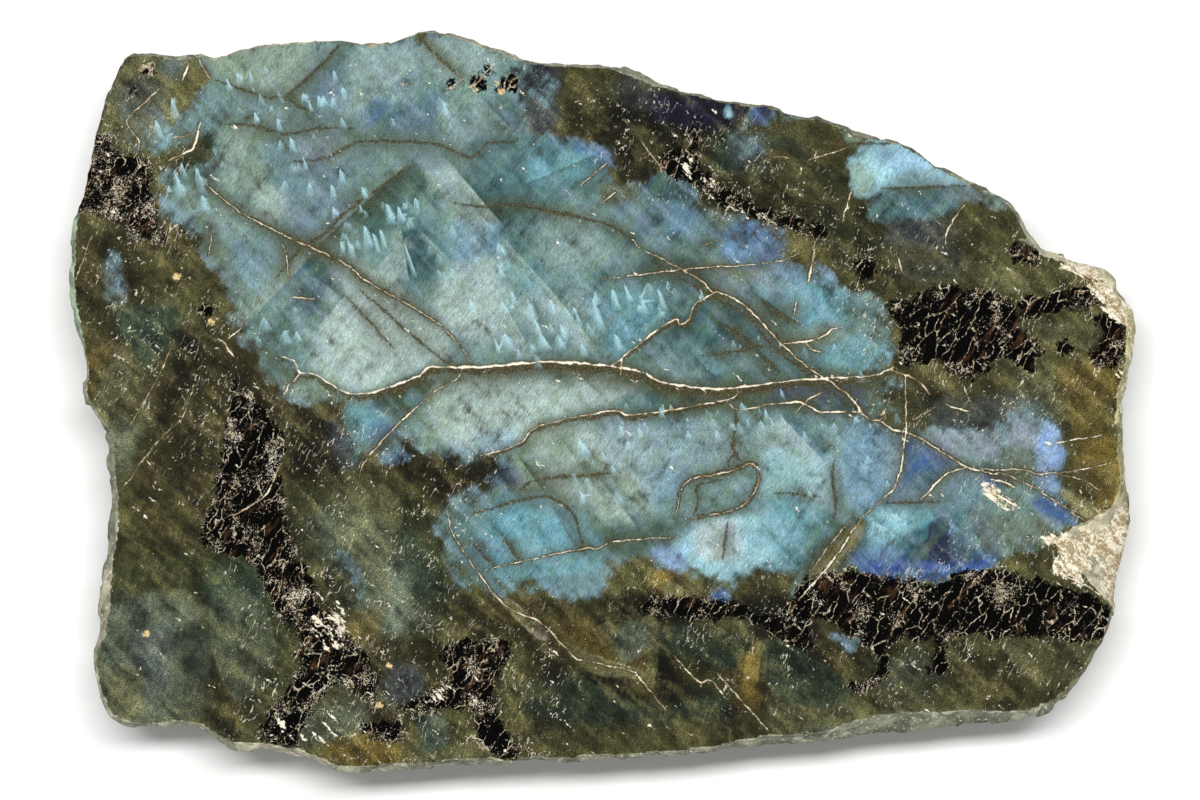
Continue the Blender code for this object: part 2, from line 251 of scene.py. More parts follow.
MATRIX_PATCHES = [
    # The top left corner.
    patch(KHAKI, 20, .9, 95,45, 215,45, 215,120, 190,165, 125,165, 95,130),
    spot(SMOKE, 10, .6, 118,78, 160,112),
    spot(STEEL, 6, .6, 160,52, 184,70),
    spot(OLIVE, 8, .8, 168,74, 198,98),
    patch(PINE, 10, .75, 186,120, 224,104, 226,132, 205,165, 170,172, 178,150),
    patch(PITCH, 8, .5, 186,140, 206,130, 200,170, 172,172),
    spot(OLIVE, 8, .8, 128,130, 170,165),
    # The left side, from top to bottom.
    patch(BARK, 24, .8, 60,215, 185,215, 225,300, 290,400, 240,420, 200,560, 150,600, 60,420),
    spot(OLIVE, 8, .7, 68,205, 112,245),
    spot(PITCH, 8, .6, 88,240, 120,268),
    patch(OLIVE, 14, .75, 140,258, 215,262, 232,330, 210,335, 150,300),
    patch(PINE, 10, .75, 118,300, 180,305, 172,345, 150,372, 128,345),
    spot(GOLD, 10, .45, 76,350, 108,392),
    patch(KHAKI, 12, .85, 106,376, 156,372, 160,400, 140,470, 112,500, 104,440),
    spot(GREY_GREEN, 10, .6, 112,415, 140,480),
    patch(BARK, 10, .7, 150,395, 182,380, 160,470, 140,480),
    spot(PITCH, 12, .7, 160,330, 206,430),
    spot(OLIVE, 10, .8, 114,484, 140,612),
    spot(BARK, 14, .7, 140,440, 204,560),
    spot(OLIVE, 10, .35, 150,476, 190,540),
    patch(MOSS, 16, .9, 110,560, 230,552, 300,630, 268,740, 200,735, 190,640, 110,625),
    spot(GREY_GREEN, 12, .9, 100,600, 205,720),
    spot(SMOKE, 10, .5, 138,630, 176,690),
    spot(KHAKI, 8, .7, 104,668, 142,716),
    patch(PITCH, 8, .5, 190,630, 206,620, 204,690, 184,730, 180,700),
    spot(PINE, 10, .6, 206,562, 264,612),
    spot(BARK, 10, .6, 205,650, 250,735),
    # Left of the middle.
    patch(BARK, 16, .85, 205,330, 300,400, 345,405, 380,470, 520,460, 500,500, 430,520, 380,540, 290,540,
        285,430, 240,400),
    spot(PITCH, 12, .6, 290,425, 350,480),
    patch(SMOKE, 8, .5, 332,420, 360,440, 358,470, 335,460),
    spot(PITCH, 8, .7, 385,450, 505,485),
    spot(OLIVE, 8, .6, 380,476, 430,500),
    patch(MOSS, 16, .9, 300,490, 440,500, 450,600, 420,640, 360,640, 320,600, 300,560),
    patch(GREY_GREEN, 14, .75, 320,520, 380,520, 430,590, 412,640, 372,630, 330,570),
    patch(CELADON, 7, .45, 388,570, 412,590, 408,636, 394,620),
    patch(PINE, 8, .6, 390,520, 425,540, 450,600, 430,620, 405,560),
    spot(GOLD, 7, .5, 352,608, 384,642),
    spot(BARK, 10, .8, 345,636, 440,720),
    spot(SMOKE, 8, .55, 385,668, 422,706),
    spot(GREY_GREEN, 10, .6, 304,700, 362,745),
    spot(GOLD, 8, .85, 332,735, 398,764),
    spot(TEAL, 8, .35, 420,715, 450,748),
    spot(KHAKI, 6, .6, 420,748, 520,768),
    # The bottom.
    patch(BARK, 18, .85, 430,600, 620,600, 800,600, 820,700, 760,748, 540,760, 500,700, 470,640),
    spot(OLIVE, 8, .75, 500,645, 530,745),
    spot(PINE, 12, .6, 530,672, 720,728),
    patch(OLIVE, 8, .85, 545,735, 700,722, 700,748, 550,762),
    patch(GOLD, 6, .65, 560,620, 612,632, 628,668, 590,664, 562,648),
    spot(GREY_GREEN, 6, .8, 614,620, 660,654),
    spot(GOLD, 5, .55, 634,648, 660,692),
    patch(PITCH, 4, .8, 612,674, 642,680, 656,700, 632,702),
    spot(PITCH, 5, .85, 660,660, 702,700),
    spot(PINE, 8, .7, 668,620, 742,662),
    spot(GOLD, 5, .7, 738,648, 757,700),
    spot(GOLD, 7, .75, 652,570, 694,602),
    patch(PITCH, 7, .85, 600,594, 640,590, 760,600, 790,604, 780,622, 640,618),
    spot(OLIVE, 5, .7, 700,606, 740,624),
    spot(KHAKI, 10, .7, 770,684, 856,745),
    spot(BARK, 10, .7, 770,640, 880,690),
    spot(MOSS, 12, .8, 860,640, 960,704),
    spot(GREY_GREEN, 8, .5, 886,660, 936,700),
    spot(BARK, 10, .7, 950,668, 1020,712),
    spot(KHAKI, 7, .7, 1056,636, 1100,690),
    patch(GREY_GREEN, 6, .8, 780,742, 900,712, 1040,710, 1060,725, 900,752, 780,762),
    spot(STRAW, 4, .6, 856,716, 872,742),
    spot(STRAW, 4, .7, 955,706, 978,724),
    # The top.
    patch(BARK, 16, .85, 510,55, 700,90, 860,115, 900,200, 900,300, 830,250, 700,200, 640,190, 610,150,
        520,130),
    spot(SMOKE, 10, .75, 516,60, 560,130),
    spot(OLIVE, 10, .8, 560,60, 618,112),
    patch(PITCH, 5, .6, 566,82, 580,84, 586,118, 574,116),
    spot(SMOKE, 8, .45, 618,66, 655,108),
    patch(PITCH, 10, .85, 605,108, 700,116, 690,150, 655,185, 625,180, 612,150),
    patch(OLIVE, 7, .5, 600,150, 640,165, 640,188, 610,180),
    patch(NAVY, 7, .85, 655,92, 742,102, 790,114, 700,128, 660,118),
    spot(PINE, 10, .7, 714,124, 810,175),
    spot(SMOKE, 8, .6, 728,132, 772,164),
    spot(PITCH, 8, .6, 775,150, 812,186),
    spot(OLIVE, 5, .9, 800,112, 850,136),
    shard(KHAKI, .6, 800,110, 850,116, 852,124, 802,120),
    patch(MOSS, 10, .85, 810,134, 852,136, 856,200, 900,250, 850,260, 815,215),
    spot(SMOKE, 8, .8, 890,205, 950,250),
    spot(BARK, 6, .5, 952,228, 990,255),
    spot(OLIVE, 12, .85, 880,248, 1030,300),
    spot(SMOKE, 9, .4, 900,244, 962,280),
    spot(BARK, 8, .6, 855,270, 900,300),
    # The right side.
    spot(KHAKI, 7, .7, 1040,322, 1098,348),
    spot(BARK, 10, .6, 914,384, 1010,410),
    patch(PINE, 7, .6, 890,398, 950,402, 975,428, 900,418),
    spot(KHAKI, 9, .75, 1015,364, 1062,420),
    spot(GOLD, 8, .6, 1060,362, 1120,398),
    spot(BARK, 5, .7, 1062,420, 1094,438),
    spot(GOLD, 8, .8, 1078,436, 1124,512),
    shard(STRAW, .85, 1058,492, 1072,492, 1106,516, 1096,522, 1076,514),
    # What is darker as a whole.
    patch(PITCH, 22, .24, 470,620, 800,612, 1090,640, 1060,705, 860,715, 700,745, 480,755),
    patch(PITCH, 16, .22, 520,62, 700,95, 830,125, 850,230, 640,185, 540,130),
    patch(SMOKE, 12, .6, 930,405, 1010,400, 1048,412, 1064,470, 1050,440, 1000,436, 940,446),
    spot(PITCH, 18, .26, 850,205, 1040,300),
    # Clear shards and dark wedges with crisp edges.
    shard(CHALK, .6, 499,599, 514,601, 548,633, 541,640, 520,622),
    shard(STRAW, 1, 500,600, 512,602, 537,622, 532,630, 514,616),
    shard(STRAW, .9, 560,639, 592,654, 641,670, 636,679, 588,668),
    shard(KHAKI, .85, 560,640, 590,654, 612,662, 640,672, 618,678, 585,668),
    shard(KHAKI, .75, 640,622, 656,618, 658,655, 654,686, 644,682, 648,652),
    shard(PITCH, .9, 586,674, 612,677, 630,677, 652,702, 632,696, 602,688),
    shard(PITCH, .85, 664,656, 692,673, 686,692, 668,702, 655,690),
    shard(GOLD, .6, 747,650, 760,646, 754,692, 742,692),
    shard(KHAKI, .8, 666,582, 700,576, 696,606, 668,602),
    shard(STRAW, .4, 596,628, 612,622, 616,640, 602,646),
    shard(GREY_GREEN, .6, 616,634, 644,622, 646,650, 622,662),
    shard(OLIVE, .7, 500,652, 524,646, 526,700, 506,696),
    shard(MOSS, .6, 690,600, 750,622, 742,650, 700,640),
    shard(PINE, .5, 760,640, 800,650, 850,690, 820,708, 770,690),
    shard(OLIVE, .5, 880,690, 960,676, 1010,690, 940,716),
    shard(KHAKI, .5, 1010,640, 1060,650, 1046,680, 1012,670),
    shard(PITCH, .5, 960,655, 1000,650, 1012,676, 972,672),
    shard(KHAKI, .35, 340,470, 400,500, 392,560, 350,600, 336,540),
    shard(PITCH, .6, 322,560, 352,572, 358,604, 334,600),
    shard(GREY_GREEN, .4, 216,590, 262,600, 276,660, 240,700, 214,650),
    shard(BARK, .5, 120,372, 158,380, 118,440, 108,430),
    shard(KHAKI, .6, 106,382, 128,340, 132,372, 116,404),
    shard(OLIVE, .5, 760,150, 800,160, 830,200, 790,196),
    shard(KHAKI, .6, 960,262, 1010,268, 1030,290, 990,290),
    shard(PITCH, .5, 900,380, 940,392, 930,408, 904,404),
    shard(GOLD, .4, 1068,400, 1104,412, 1108,462, 1080,450),
    shard(BARK, .6, 1072,470, 1112,476, 1108,500, 1080,494),
    spot(PITCH, 24, .22, 520,620, 720,745),
    spot(PITCH, 24, .2, 880,640, 1060,715),
]

FLASH_PATCHES = [
    # The whole field, and what is left unlit in it.
    patch(SEA, 24, 1, 212,58, 300,42, 420,33, 500,50, 518,62, 508,100, 516,138, 556,146, 598,160, 612,192,
        640,200, 682,206, 706,226, 740,250, 776,262, 806,272, 824,294, 844,320, 868,346, 862,380, 900,430,
        945,442, 1000,434, 1030,418, 1050,432, 1054,492, 1046,516, 1000,540, 985,560, 900,572, 850,556,
        812,556, 784,548, 742,562, 722,580, 704,566, 680,562, 650,550, 614,558, 602,586, 560,592, 548,572,
        506,566, 492,586, 474,582, 458,556, 448,530, 456,508, 512,484, 500,456, 436,444, 392,438, 362,456,
        350,404, 300,382, 272,354, 250,312, 224,268, 196,232, 170,206, 174,184, 210,170, 228,130, 218,90),
    # The top left of the field.
    spot(CELADON, 10, .85, 206,42, 305,92),
    spot(SLATE, 8, .55, 304,64, 346,116),
    spot(PINE, 7, .6, 286,100, 312,122),
    spot(SILVER, 10, .6, 350,40, 420,100),
    patch(SILVER, 8, .7, 425,36, 505,52, 490,76, 450,72),
    spot(COBALT, 7, .55, 368,98, 394,118),
    spot(SLATE, 9, .7, 398,94, 446,130),
    spot(SILVER, 9, .75, 440,92, 492,142),
    spot(PINE, 7, .7, 490,92, 516,128),
    spot(CELADON, 10, .6, 218,128, 272,196),
    spot(LILAC, 8, .5, 300,134, 344,160),
    spot(STEEL, 8, .6, 264,140, 300,190),
    spot(MIST, 8, .6, 252,194, 292,224),
    spot(PINE, 8, .6, 166,166, 214,186),
    spot(SILVER, 8, .5, 214,200, 250,246),
    patch(STEEL, 8, .7, 222,236, 262,256, 266,322, 250,326, 232,290),
    patch(GREY_GREEN, 7, .6, 180,186, 204,190, 238,268, 262,330, 300,372, 280,376, 240,318, 206,250),
    patch(LILAC, 6, .5, 224,318, 244,320, 250,350, 236,344),
    patch(CELADON, 8, .6, 262,280, 292,262, 296,300, 262,328, 250,310),
    patch(PINE, 8, .6, 250,336, 284,320, 296,360, 276,372),
    spot(SLATE, 10, .45, 286,160, 352,236),
    patch(PINE, 7, .6, 352,218, 400,168, 430,172, 424,196, 396,236, 362,240),
    patch(TEAL, 9, .5, 365,232, 410,205, 448,260, 400,280),
    spot(DEEP_TEAL, 9, .45, 402,236, 440,276),
    spot(PINE, 5, .7, 312,246, 338,258),
    spot(DEEP_TEAL, 9, .65, 292,264, 348,318),
    patch(MIST, 12, .9, 332,306, 400,300, 446,330, 440,366, 372,390, 320,378, 318,350),
    spot(MIST, 9, .8, 330,270, 400,330),
    # The pale heart of it.
    spot(SKY, 12, .45, 446,214, 506,262),
    spot(MIST, 14, .75, 440,262, 520,338),
    spot(TEAL, 9, .5, 500,206, 552,246),
    spot(PINE, 7, .7, 474,198, 524,214),
    spot(SILVER, 10, .5, 540,224, 600,262),
    spot(AQUA, 9, .5, 500,262, 545,302),
    spot(SILVER, 12, .6, 500,296, 600,356),
    spot(TEAL, 8, .35, 536,326, 572,356),
    patch(TEAL, 10, .45, 590,268, 690,282, 676,318, 640,344, 604,352),
    spot(AQUA, 9, .55, 606,296, 660,352),
    spot(PINE, 5, .5, 574,348, 600,366),
    # Its top right.
    patch(TEAL, 9, .65, 480,144, 570,138, 604,156, 604,186, 520,196, 484,184),
    patch(AQUA, 7, .7, 530,164, 596,152, 600,176, 540,190),
    patch(COBALT, 8, .42, 566,138, 612,148, 606,170, 580,158),
    patch(TEAL, 8, .4, 492,176, 520,190, 600,186, 606,206, 500,204),
    spot(KHAKI, 7, .55, 600,180, 640,206),
    spot(STEEL, 9, .8, 620,200, 690,244),
    spot(DEEP_TEAL, 7, .75, 650,178, 692,200),
    spot(SKY, 7, .6, 668,206, 702,236),
    patch(PINE, 5, .6, 606,224, 640,232, 640,244, 614,240),
    patch(DEEP_TEAL, 7, .6, 644,256, 700,268, 714,292, 690,292, 640,276),
    patch(SLATE, 9, .45, 704,212, 760,220, 790,246, 716,248),
    spot(COBALT, 8, .45, 722,224, 786,264),
    spot(SKY, 6, .6, 722,244, 756,264),
    patch(KHAKI, 4, .6, 700,266, 752,264, 786,258, 780,266, 740,276, 706,276),
    spot(LILAC, 8, .5, 716,272, 770,296),
    patch(SKY, 8, .5, 770,256, 836,268, 824,284, 780,282),
    spot(AQUA, 9, .85, 792,282, 848,326),
    patch(PINE, 4, .7, 770,300, 800,318, 796,326, 768,312),
    patch(CELADON, 6, .7, 780,336, 840,326, 846,342, 790,350),
    spot(SEA, 8, .7, 840,300, 884,366),
    spot(AQUA, 7, .5, 830,340, 892,368),
    patch(PINE, 6, .6, 846,300, 878,316, 880,330, 850,322),
    spot(AQUA, 8, .55, 780,350, 860,378),
    # The dark green wedge and the strip under it.
    patch(TEAL, 5, .9, 706,298, 748,306, 780,344, 724,350, 650,354, 684,322),
    spot(DEEP_TEAL, 5, .5, 712,302, 744,346),
    patch(AQUA, 6, .5, 740,312, 776,336, 770,348, 744,344),
    patch(PINE, 6, .5, 630,352, 660,334, 690,330, 686,344, 640,362),
    spot(SEA, 7, .7, 640,342, 740,372),
    spot(PINE, 6, .6, 670,374, 900,396),
    # Under the long vein.
    patch(MIST, 10, .85, 436,380, 520,374, 620,376, 640,400, 560,420, 500,448, 440,430),
    spot(MIST, 8, .5, 500,396, 556,436),
    spot(SKY, 8, .45, 470,428, 520,452),
    spot(CELADON, 9, .5, 420,396, 450,444),
    patch(TEAL, 6, .75, 640,384, 732,392, 728,402, 640,410, 610,404),
    spot(COBALT, 7, .6, 776,388, 862,412),
    patch(PINE, 4, .55, 650,408, 880,404, 872,416, 740,414, 640,422),
    patch(AQUA, 7, .6, 348,404, 400,402, 372,440, 356,446),
    patch(DEEP_TEAL, 5, .85, 372,398, 420,382, 424,396, 400,416, 384,412),
    spot(COBALT, 7, .6, 366,424, 392,444),
    spot(COBALT, 6, .5, 382,450, 410,466),
    spot(NAVY, 6, .8, 492,464, 520,490),
    spot(CELADON, 7, .6, 290,376, 340,402),
    # The lower half.
    spot(SKY, 12, .5, 590,420, 700,470),
    spot(SILVER, 12, .5, 600,424, 732,474),
    spot(CELADON, 10, .75, 520,426, 602,500),
    patch(PINE, 6, .4, 556,448, 572,446, 560,480, 540,480),
    spot(MIST, 4, .9, 576,436, 596,464),
    spot(CELADON, 9, .8, 590,480, 650,520),
    spot(SKY, 8, .45, 640,466, 682,504),
    patch(PINE, 6, .6, 520,486, 580,500, 600,540, 596,590, 574,556, 556,516),
    spot(PINE, 7, .75, 596,522, 700,556),
    spot(AQUA, 8, .9, 490,500, 578,556),
    spot(TEAL, 8, .5, 448,512, 480,590),
    spot(SKY, 7, .5, 466,536, 496,562),
    spot(AQUA, 8, .4, 480,556, 550,596),
    spot(STEEL, 8, .7, 540,560, 606,596),
    spot(AQUA, 7, .8, 490,530, 600,574),
    patch(ICE, 7, .35, 500,540, 556,544, 580,560, 520,562),
    spot(SILVER, 10, .6, 752,430, 842,462),
    spot(ICE, 12, .6, 762,452, 836,500),
    spot(SKY, 10, .55, 842,426, 900,506),
    spot(AQUA, 10, .7, 760,500, 830,570),
    patch(ICE, 7, .95, 672,546, 700,526, 782,524, 778,552, 726,576, 690,566),
    spot(FROST, 7, .9, 696,524, 742,558),
    spot(PERIWINKLE, 6, .6, 650,546, 684,570),
    patch(PINE, 8, .55, 806,520, 846,516, 828,552, 800,576),
    spot(SLATE, 8, .4, 890,436, 950,504),
    patch(COBALT, 6, .45, 906,440, 950,462, 920,492, 900,480),
    spot(LILAC, 8, .75, 928,424, 998,460),
    spot(STEEL, 9, .7, 910,476, 985,540),
    spot(AQUA, 8, .85, 862,504, 930,552),
    spot(ICE, 7, .75, 868,508, 906,546),
    spot(AQUA, 6, .5, 860,536, 990,562),
    patch(COBALT, 6, .85, 852,556, 900,548, 985,550, 988,572, 900,584, 860,574),
    patch(DEEP_TEAL, 5, .7, 896,536, 926,522, 962,512, 972,548, 930,562, 900,556),
    shard(NAVY, .6, 928,526, 946,518, 950,556, 930,560),
    shard(SKY, .6, 948,530, 954,526, 958,552, 950,556),
    shard(PERIWINKLE, .5, 908,562, 944,566, 946,572, 912,570),
    shard(NAVY, .7, 916,544, 960,534, 982,556, 958,566, 930,560),
    shard(SKY, .7, 862,548, 884,542, 904,552, 886,560, 866,558),
    shard(ROYAL, .6, 868,562, 906,558, 930,564, 924,571, 880,570),
    shard(ROYAL, .6, 950,562, 984,560, 986,570, 956,572),
    shard(PINE, .8, 374,397, 434,380, 408,411, 386,414),
    shard(AQUA, .6, 412,387, 424,398, 418,407, 405,404),
    patch(BARK, 6, .75, 866,518, 866,540, 842,574, 812,600, 792,598, 806,566, 832,532),
    shard(KHAKI, .85, 862,520, 862,536, 838,566, 812,592, 800,594, 812,568, 836,538),
    shard(STRAW, .7, 856,524, 858,534, 836,562, 816,582, 812,578, 832,550),
    patch(PERIWINKLE, 4, .5, 866,552, 900,546, 902,556, 870,562),
    patch(GREY_GREEN, 8, .75, 968,510, 1060,516, 1040,545, 985,556),
    spot(LILAC, 7, .8, 1006,418, 1036,446),
    spot(GREY_GREEN, 7, .7, 996,446, 1030,480),
    spot(PERIWINKLE, 5, .9, 1034,424, 1062,484),
    spot(COBALT, 4, .8, 984,472, 1004,490),
    patch(COBALT, 5, .8, 1034,490, 1056,494, 1082,520, 1060,522, 1036,506),
    spot(DEEP_TEAL, 22, .3, 625,185, 715,265),
    spot(DEEP_TEAL, 22, .28, 660,285, 800,372),
    spot(MIST, 22, .35, 545,420, 655,510),
    spot(TEAL, 20, .3, 375,70, 505,140),
    spot(NAVY, 10, .35, 862,545, 980,574),
    spot(DEEP_TEAL, 20, .15, 675,510, 775,575),
]

# The sheens of its twin planes.
FACETS = [
    *twin(280,100, 342,42, SILVER, -30, .47, PINE, 22, .74),
    *twin(335,128, 424,60, SILVER, -30, .47, SLATE, 18, .34),
    *twin(262,105, 232,192, SILVER, 24, .47, PINE, -14, .34),
    *twin(420,35, 462,78, MIST, 26, .41, GREY_GREEN, -20, .47),
    *twin(478,95, 515,132, SILVER, 26, .47, DEEP_TEAL, -12, .54),
    *twin(312,250, 408,163, PINE, 36, .88, MIST, -10, .41),
    *twin(444,156, 502,224, MIST, 36, .68),
    *twin(458,172, 506,228, DEEP_TEAL, -26, .88),
    *twin(424,164, 470,222, MIST, 10, .47),
    *twin(404,172, 440,214, DEEP_TEAL, -13, .61),
    *twin(400,222, 410,286, DEEP_TEAL, -36, .81, MIST, 26, .54),
    *twin(418,228, 452,262, MIST, 8, .47, TEAL, -14, .47),
    *twin(360,284, 412,232, MIST, 20, .41),
    *twin(502,236, 560,300, MIST, 16, .41, TEAL, -16, .41),
    *twin(468,230, 520,292, SILVER, 14, .41),
    *twin(296,262, 345,300, DEEP_TEAL, -22, .81),
    *twin(236,336, 316,252, CELADON, -20, .54, TEAL, 28, .61),
    *twin(316,330, 350,290, MIST, 30, .47, DEEP_TEAL, -26, .61),
    *twin(552,290, 598,350, MIST, 18, .54, DEEP_TEAL, -24, .61),
    *twin(500,296, 530,350, MIST, 14, .47, TEAL, -14, .54),
    *twin(526,300, 552,352, MIST, 10, .41, DEEP_TEAL, -14, .47),
    *twin(430,290, 500,344, MIST, 22, .34),
    *twin(588,292, 606,336, AQUA, 10, .61, DEEP_TEAL, -20, .68),
    *twin(512,374, 562,424, MIST, -26, .41, CELADON, 20, .34),
    *twin(512,448, 545,494, MINT, 9, .74, PINE, -18, .68),
    *twin(556,432, 606,502, CELADON, 12, .61, PINE, -14, .47),
    *twin(592,470, 640,530, MIST, 12, .54, TEAL, -14, .54),
    *twin(640,480, 660,520, SILVER, 10, .47),
    *twin(776,412, 826,464, TEAL, -28, .88, MIST, 30, .61),
    *twin(828,462, 834,516, MIST, 40, .41, SMOKE, -16, .54),
    *twin(905,436, 902,484, MIST, 32, .47, COBALT, -36, .74),
    *twin(905,436, 960,468, COBALT, 24, .54),
    *twin(910,496, 960,468, DEEP_TEAL, -26, .54, SMOKE, 22, .61),
    *twin(962,504, 986,562, SMOKE, -28, .74, AQUA, 24, .41),
    *twin(724,522, 722,562, DEEP_TEAL, -14, .47, MIST, 22, .54),
    *twin(756,520, 790,560, AQUA, 20, .47, TEAL, -22, .61),
    *twin(716,316, 760,350, DEEP_TEAL, 16, .68, TEAL, -12, .47),
    *twin(752,342, 782,374, DEEP_TEAL, 14, .74, AQUA, -16, .54),
    *twin(690,352, 722,382, DEEP_TEAL, 13, .68, AQUA, -18, .54),
    *twin(790,352, 830,388, DEEP_TEAL, 13, .68, AQUA, -18, .54),
    *twin(745,285, 800,325, DEEP_TEAL, 14, .61, AQUA, -14, .54),
    *twin(800,290, 846,334, AQUA, -20, .47),
    *twin(470,540, 500,572, DEEP_TEAL, -10, .68, AQUA, 13, .54),
    *twin(504,534, 524,566, DEEP_TEAL, -10, .68, AQUA, 13, .54),
    *twin(528,512, 550,548, TEAL, -12, .54),
    *twin(548,500, 582,560, AQUA, 28, .54, PINE, -18, .68),
    *twin(928,520, 926,560, NAVY, -16, .74),
    *twin(868,515, 900,540, ICE, 18, .61, TEAL, -12, .47),
    *twin(880,552, 925,520, AQUA, -16, .54),
    *twin(880,188, 966,186, DEEP_TEAL, 22, .68),
    *twin(520,186, 600,152, AQUA, -14, .54, DEEP_TEAL, 12, .61),
]

# Flashes that stand alone in the dark feldspar.
STRAY_FLASHES = [
    patch(SEA, 8, .75, 222,76, 180,110, 150,136, 158,150, 196,136, 228,122),
    patch(GREY_GREEN, 8, .4, 120,108, 150,100, 166,128, 134,150),
    patch(ICE, 5, 1, 850,164, 860,148, 878,139, 902,142, 936,164, 970,184, 972,198, 944,200, 905,194,
        856,190),
    spot(CELADON, 6, .7, 850,164, 872,190),
    patch(PERIWINKLE, 8, .45, 880,150, 910,150, 930,170, 896,172),
    spot(STEEL, 5, .6, 894,172, 945,186),
    spot(SKY, 4, .7, 936,184, 974,202),
    spot(TEAL, 9, .75, 868,188, 955,216),
    spot(GREY_GREEN, 6, .8, 958,188, 1004,206),
    spot(MINT, 5, .8, 846,124, 864,146),
    spot(ICE, 4, .7, 720,100, 730,118),
    spot(MINT, 4, .7, 742,116, 752,132),
    spot(ROYAL, 5, .55, 750,104, 776,124),
    spot(SILVER, 4, .6, 776,112, 800,124),
    spot(STEEL, 8, .45, 728,134, 768,160),
    spot(COBALT, 5, .85, 702,590, 728,608),
    spot(STEEL, 6, .7, 826,634, 860,648),
    spot(STEEL, 9, .35, 508,66, 556,104),
    spot(TEAL, 8, .35, 104,255, 125,300),
    patch(SLATE, 7, .5, 336,550, 356,562, 362,596, 350,594),
    patch(ICE, 4, .5, 158,118, 166,122, 172,142, 162,138),
]

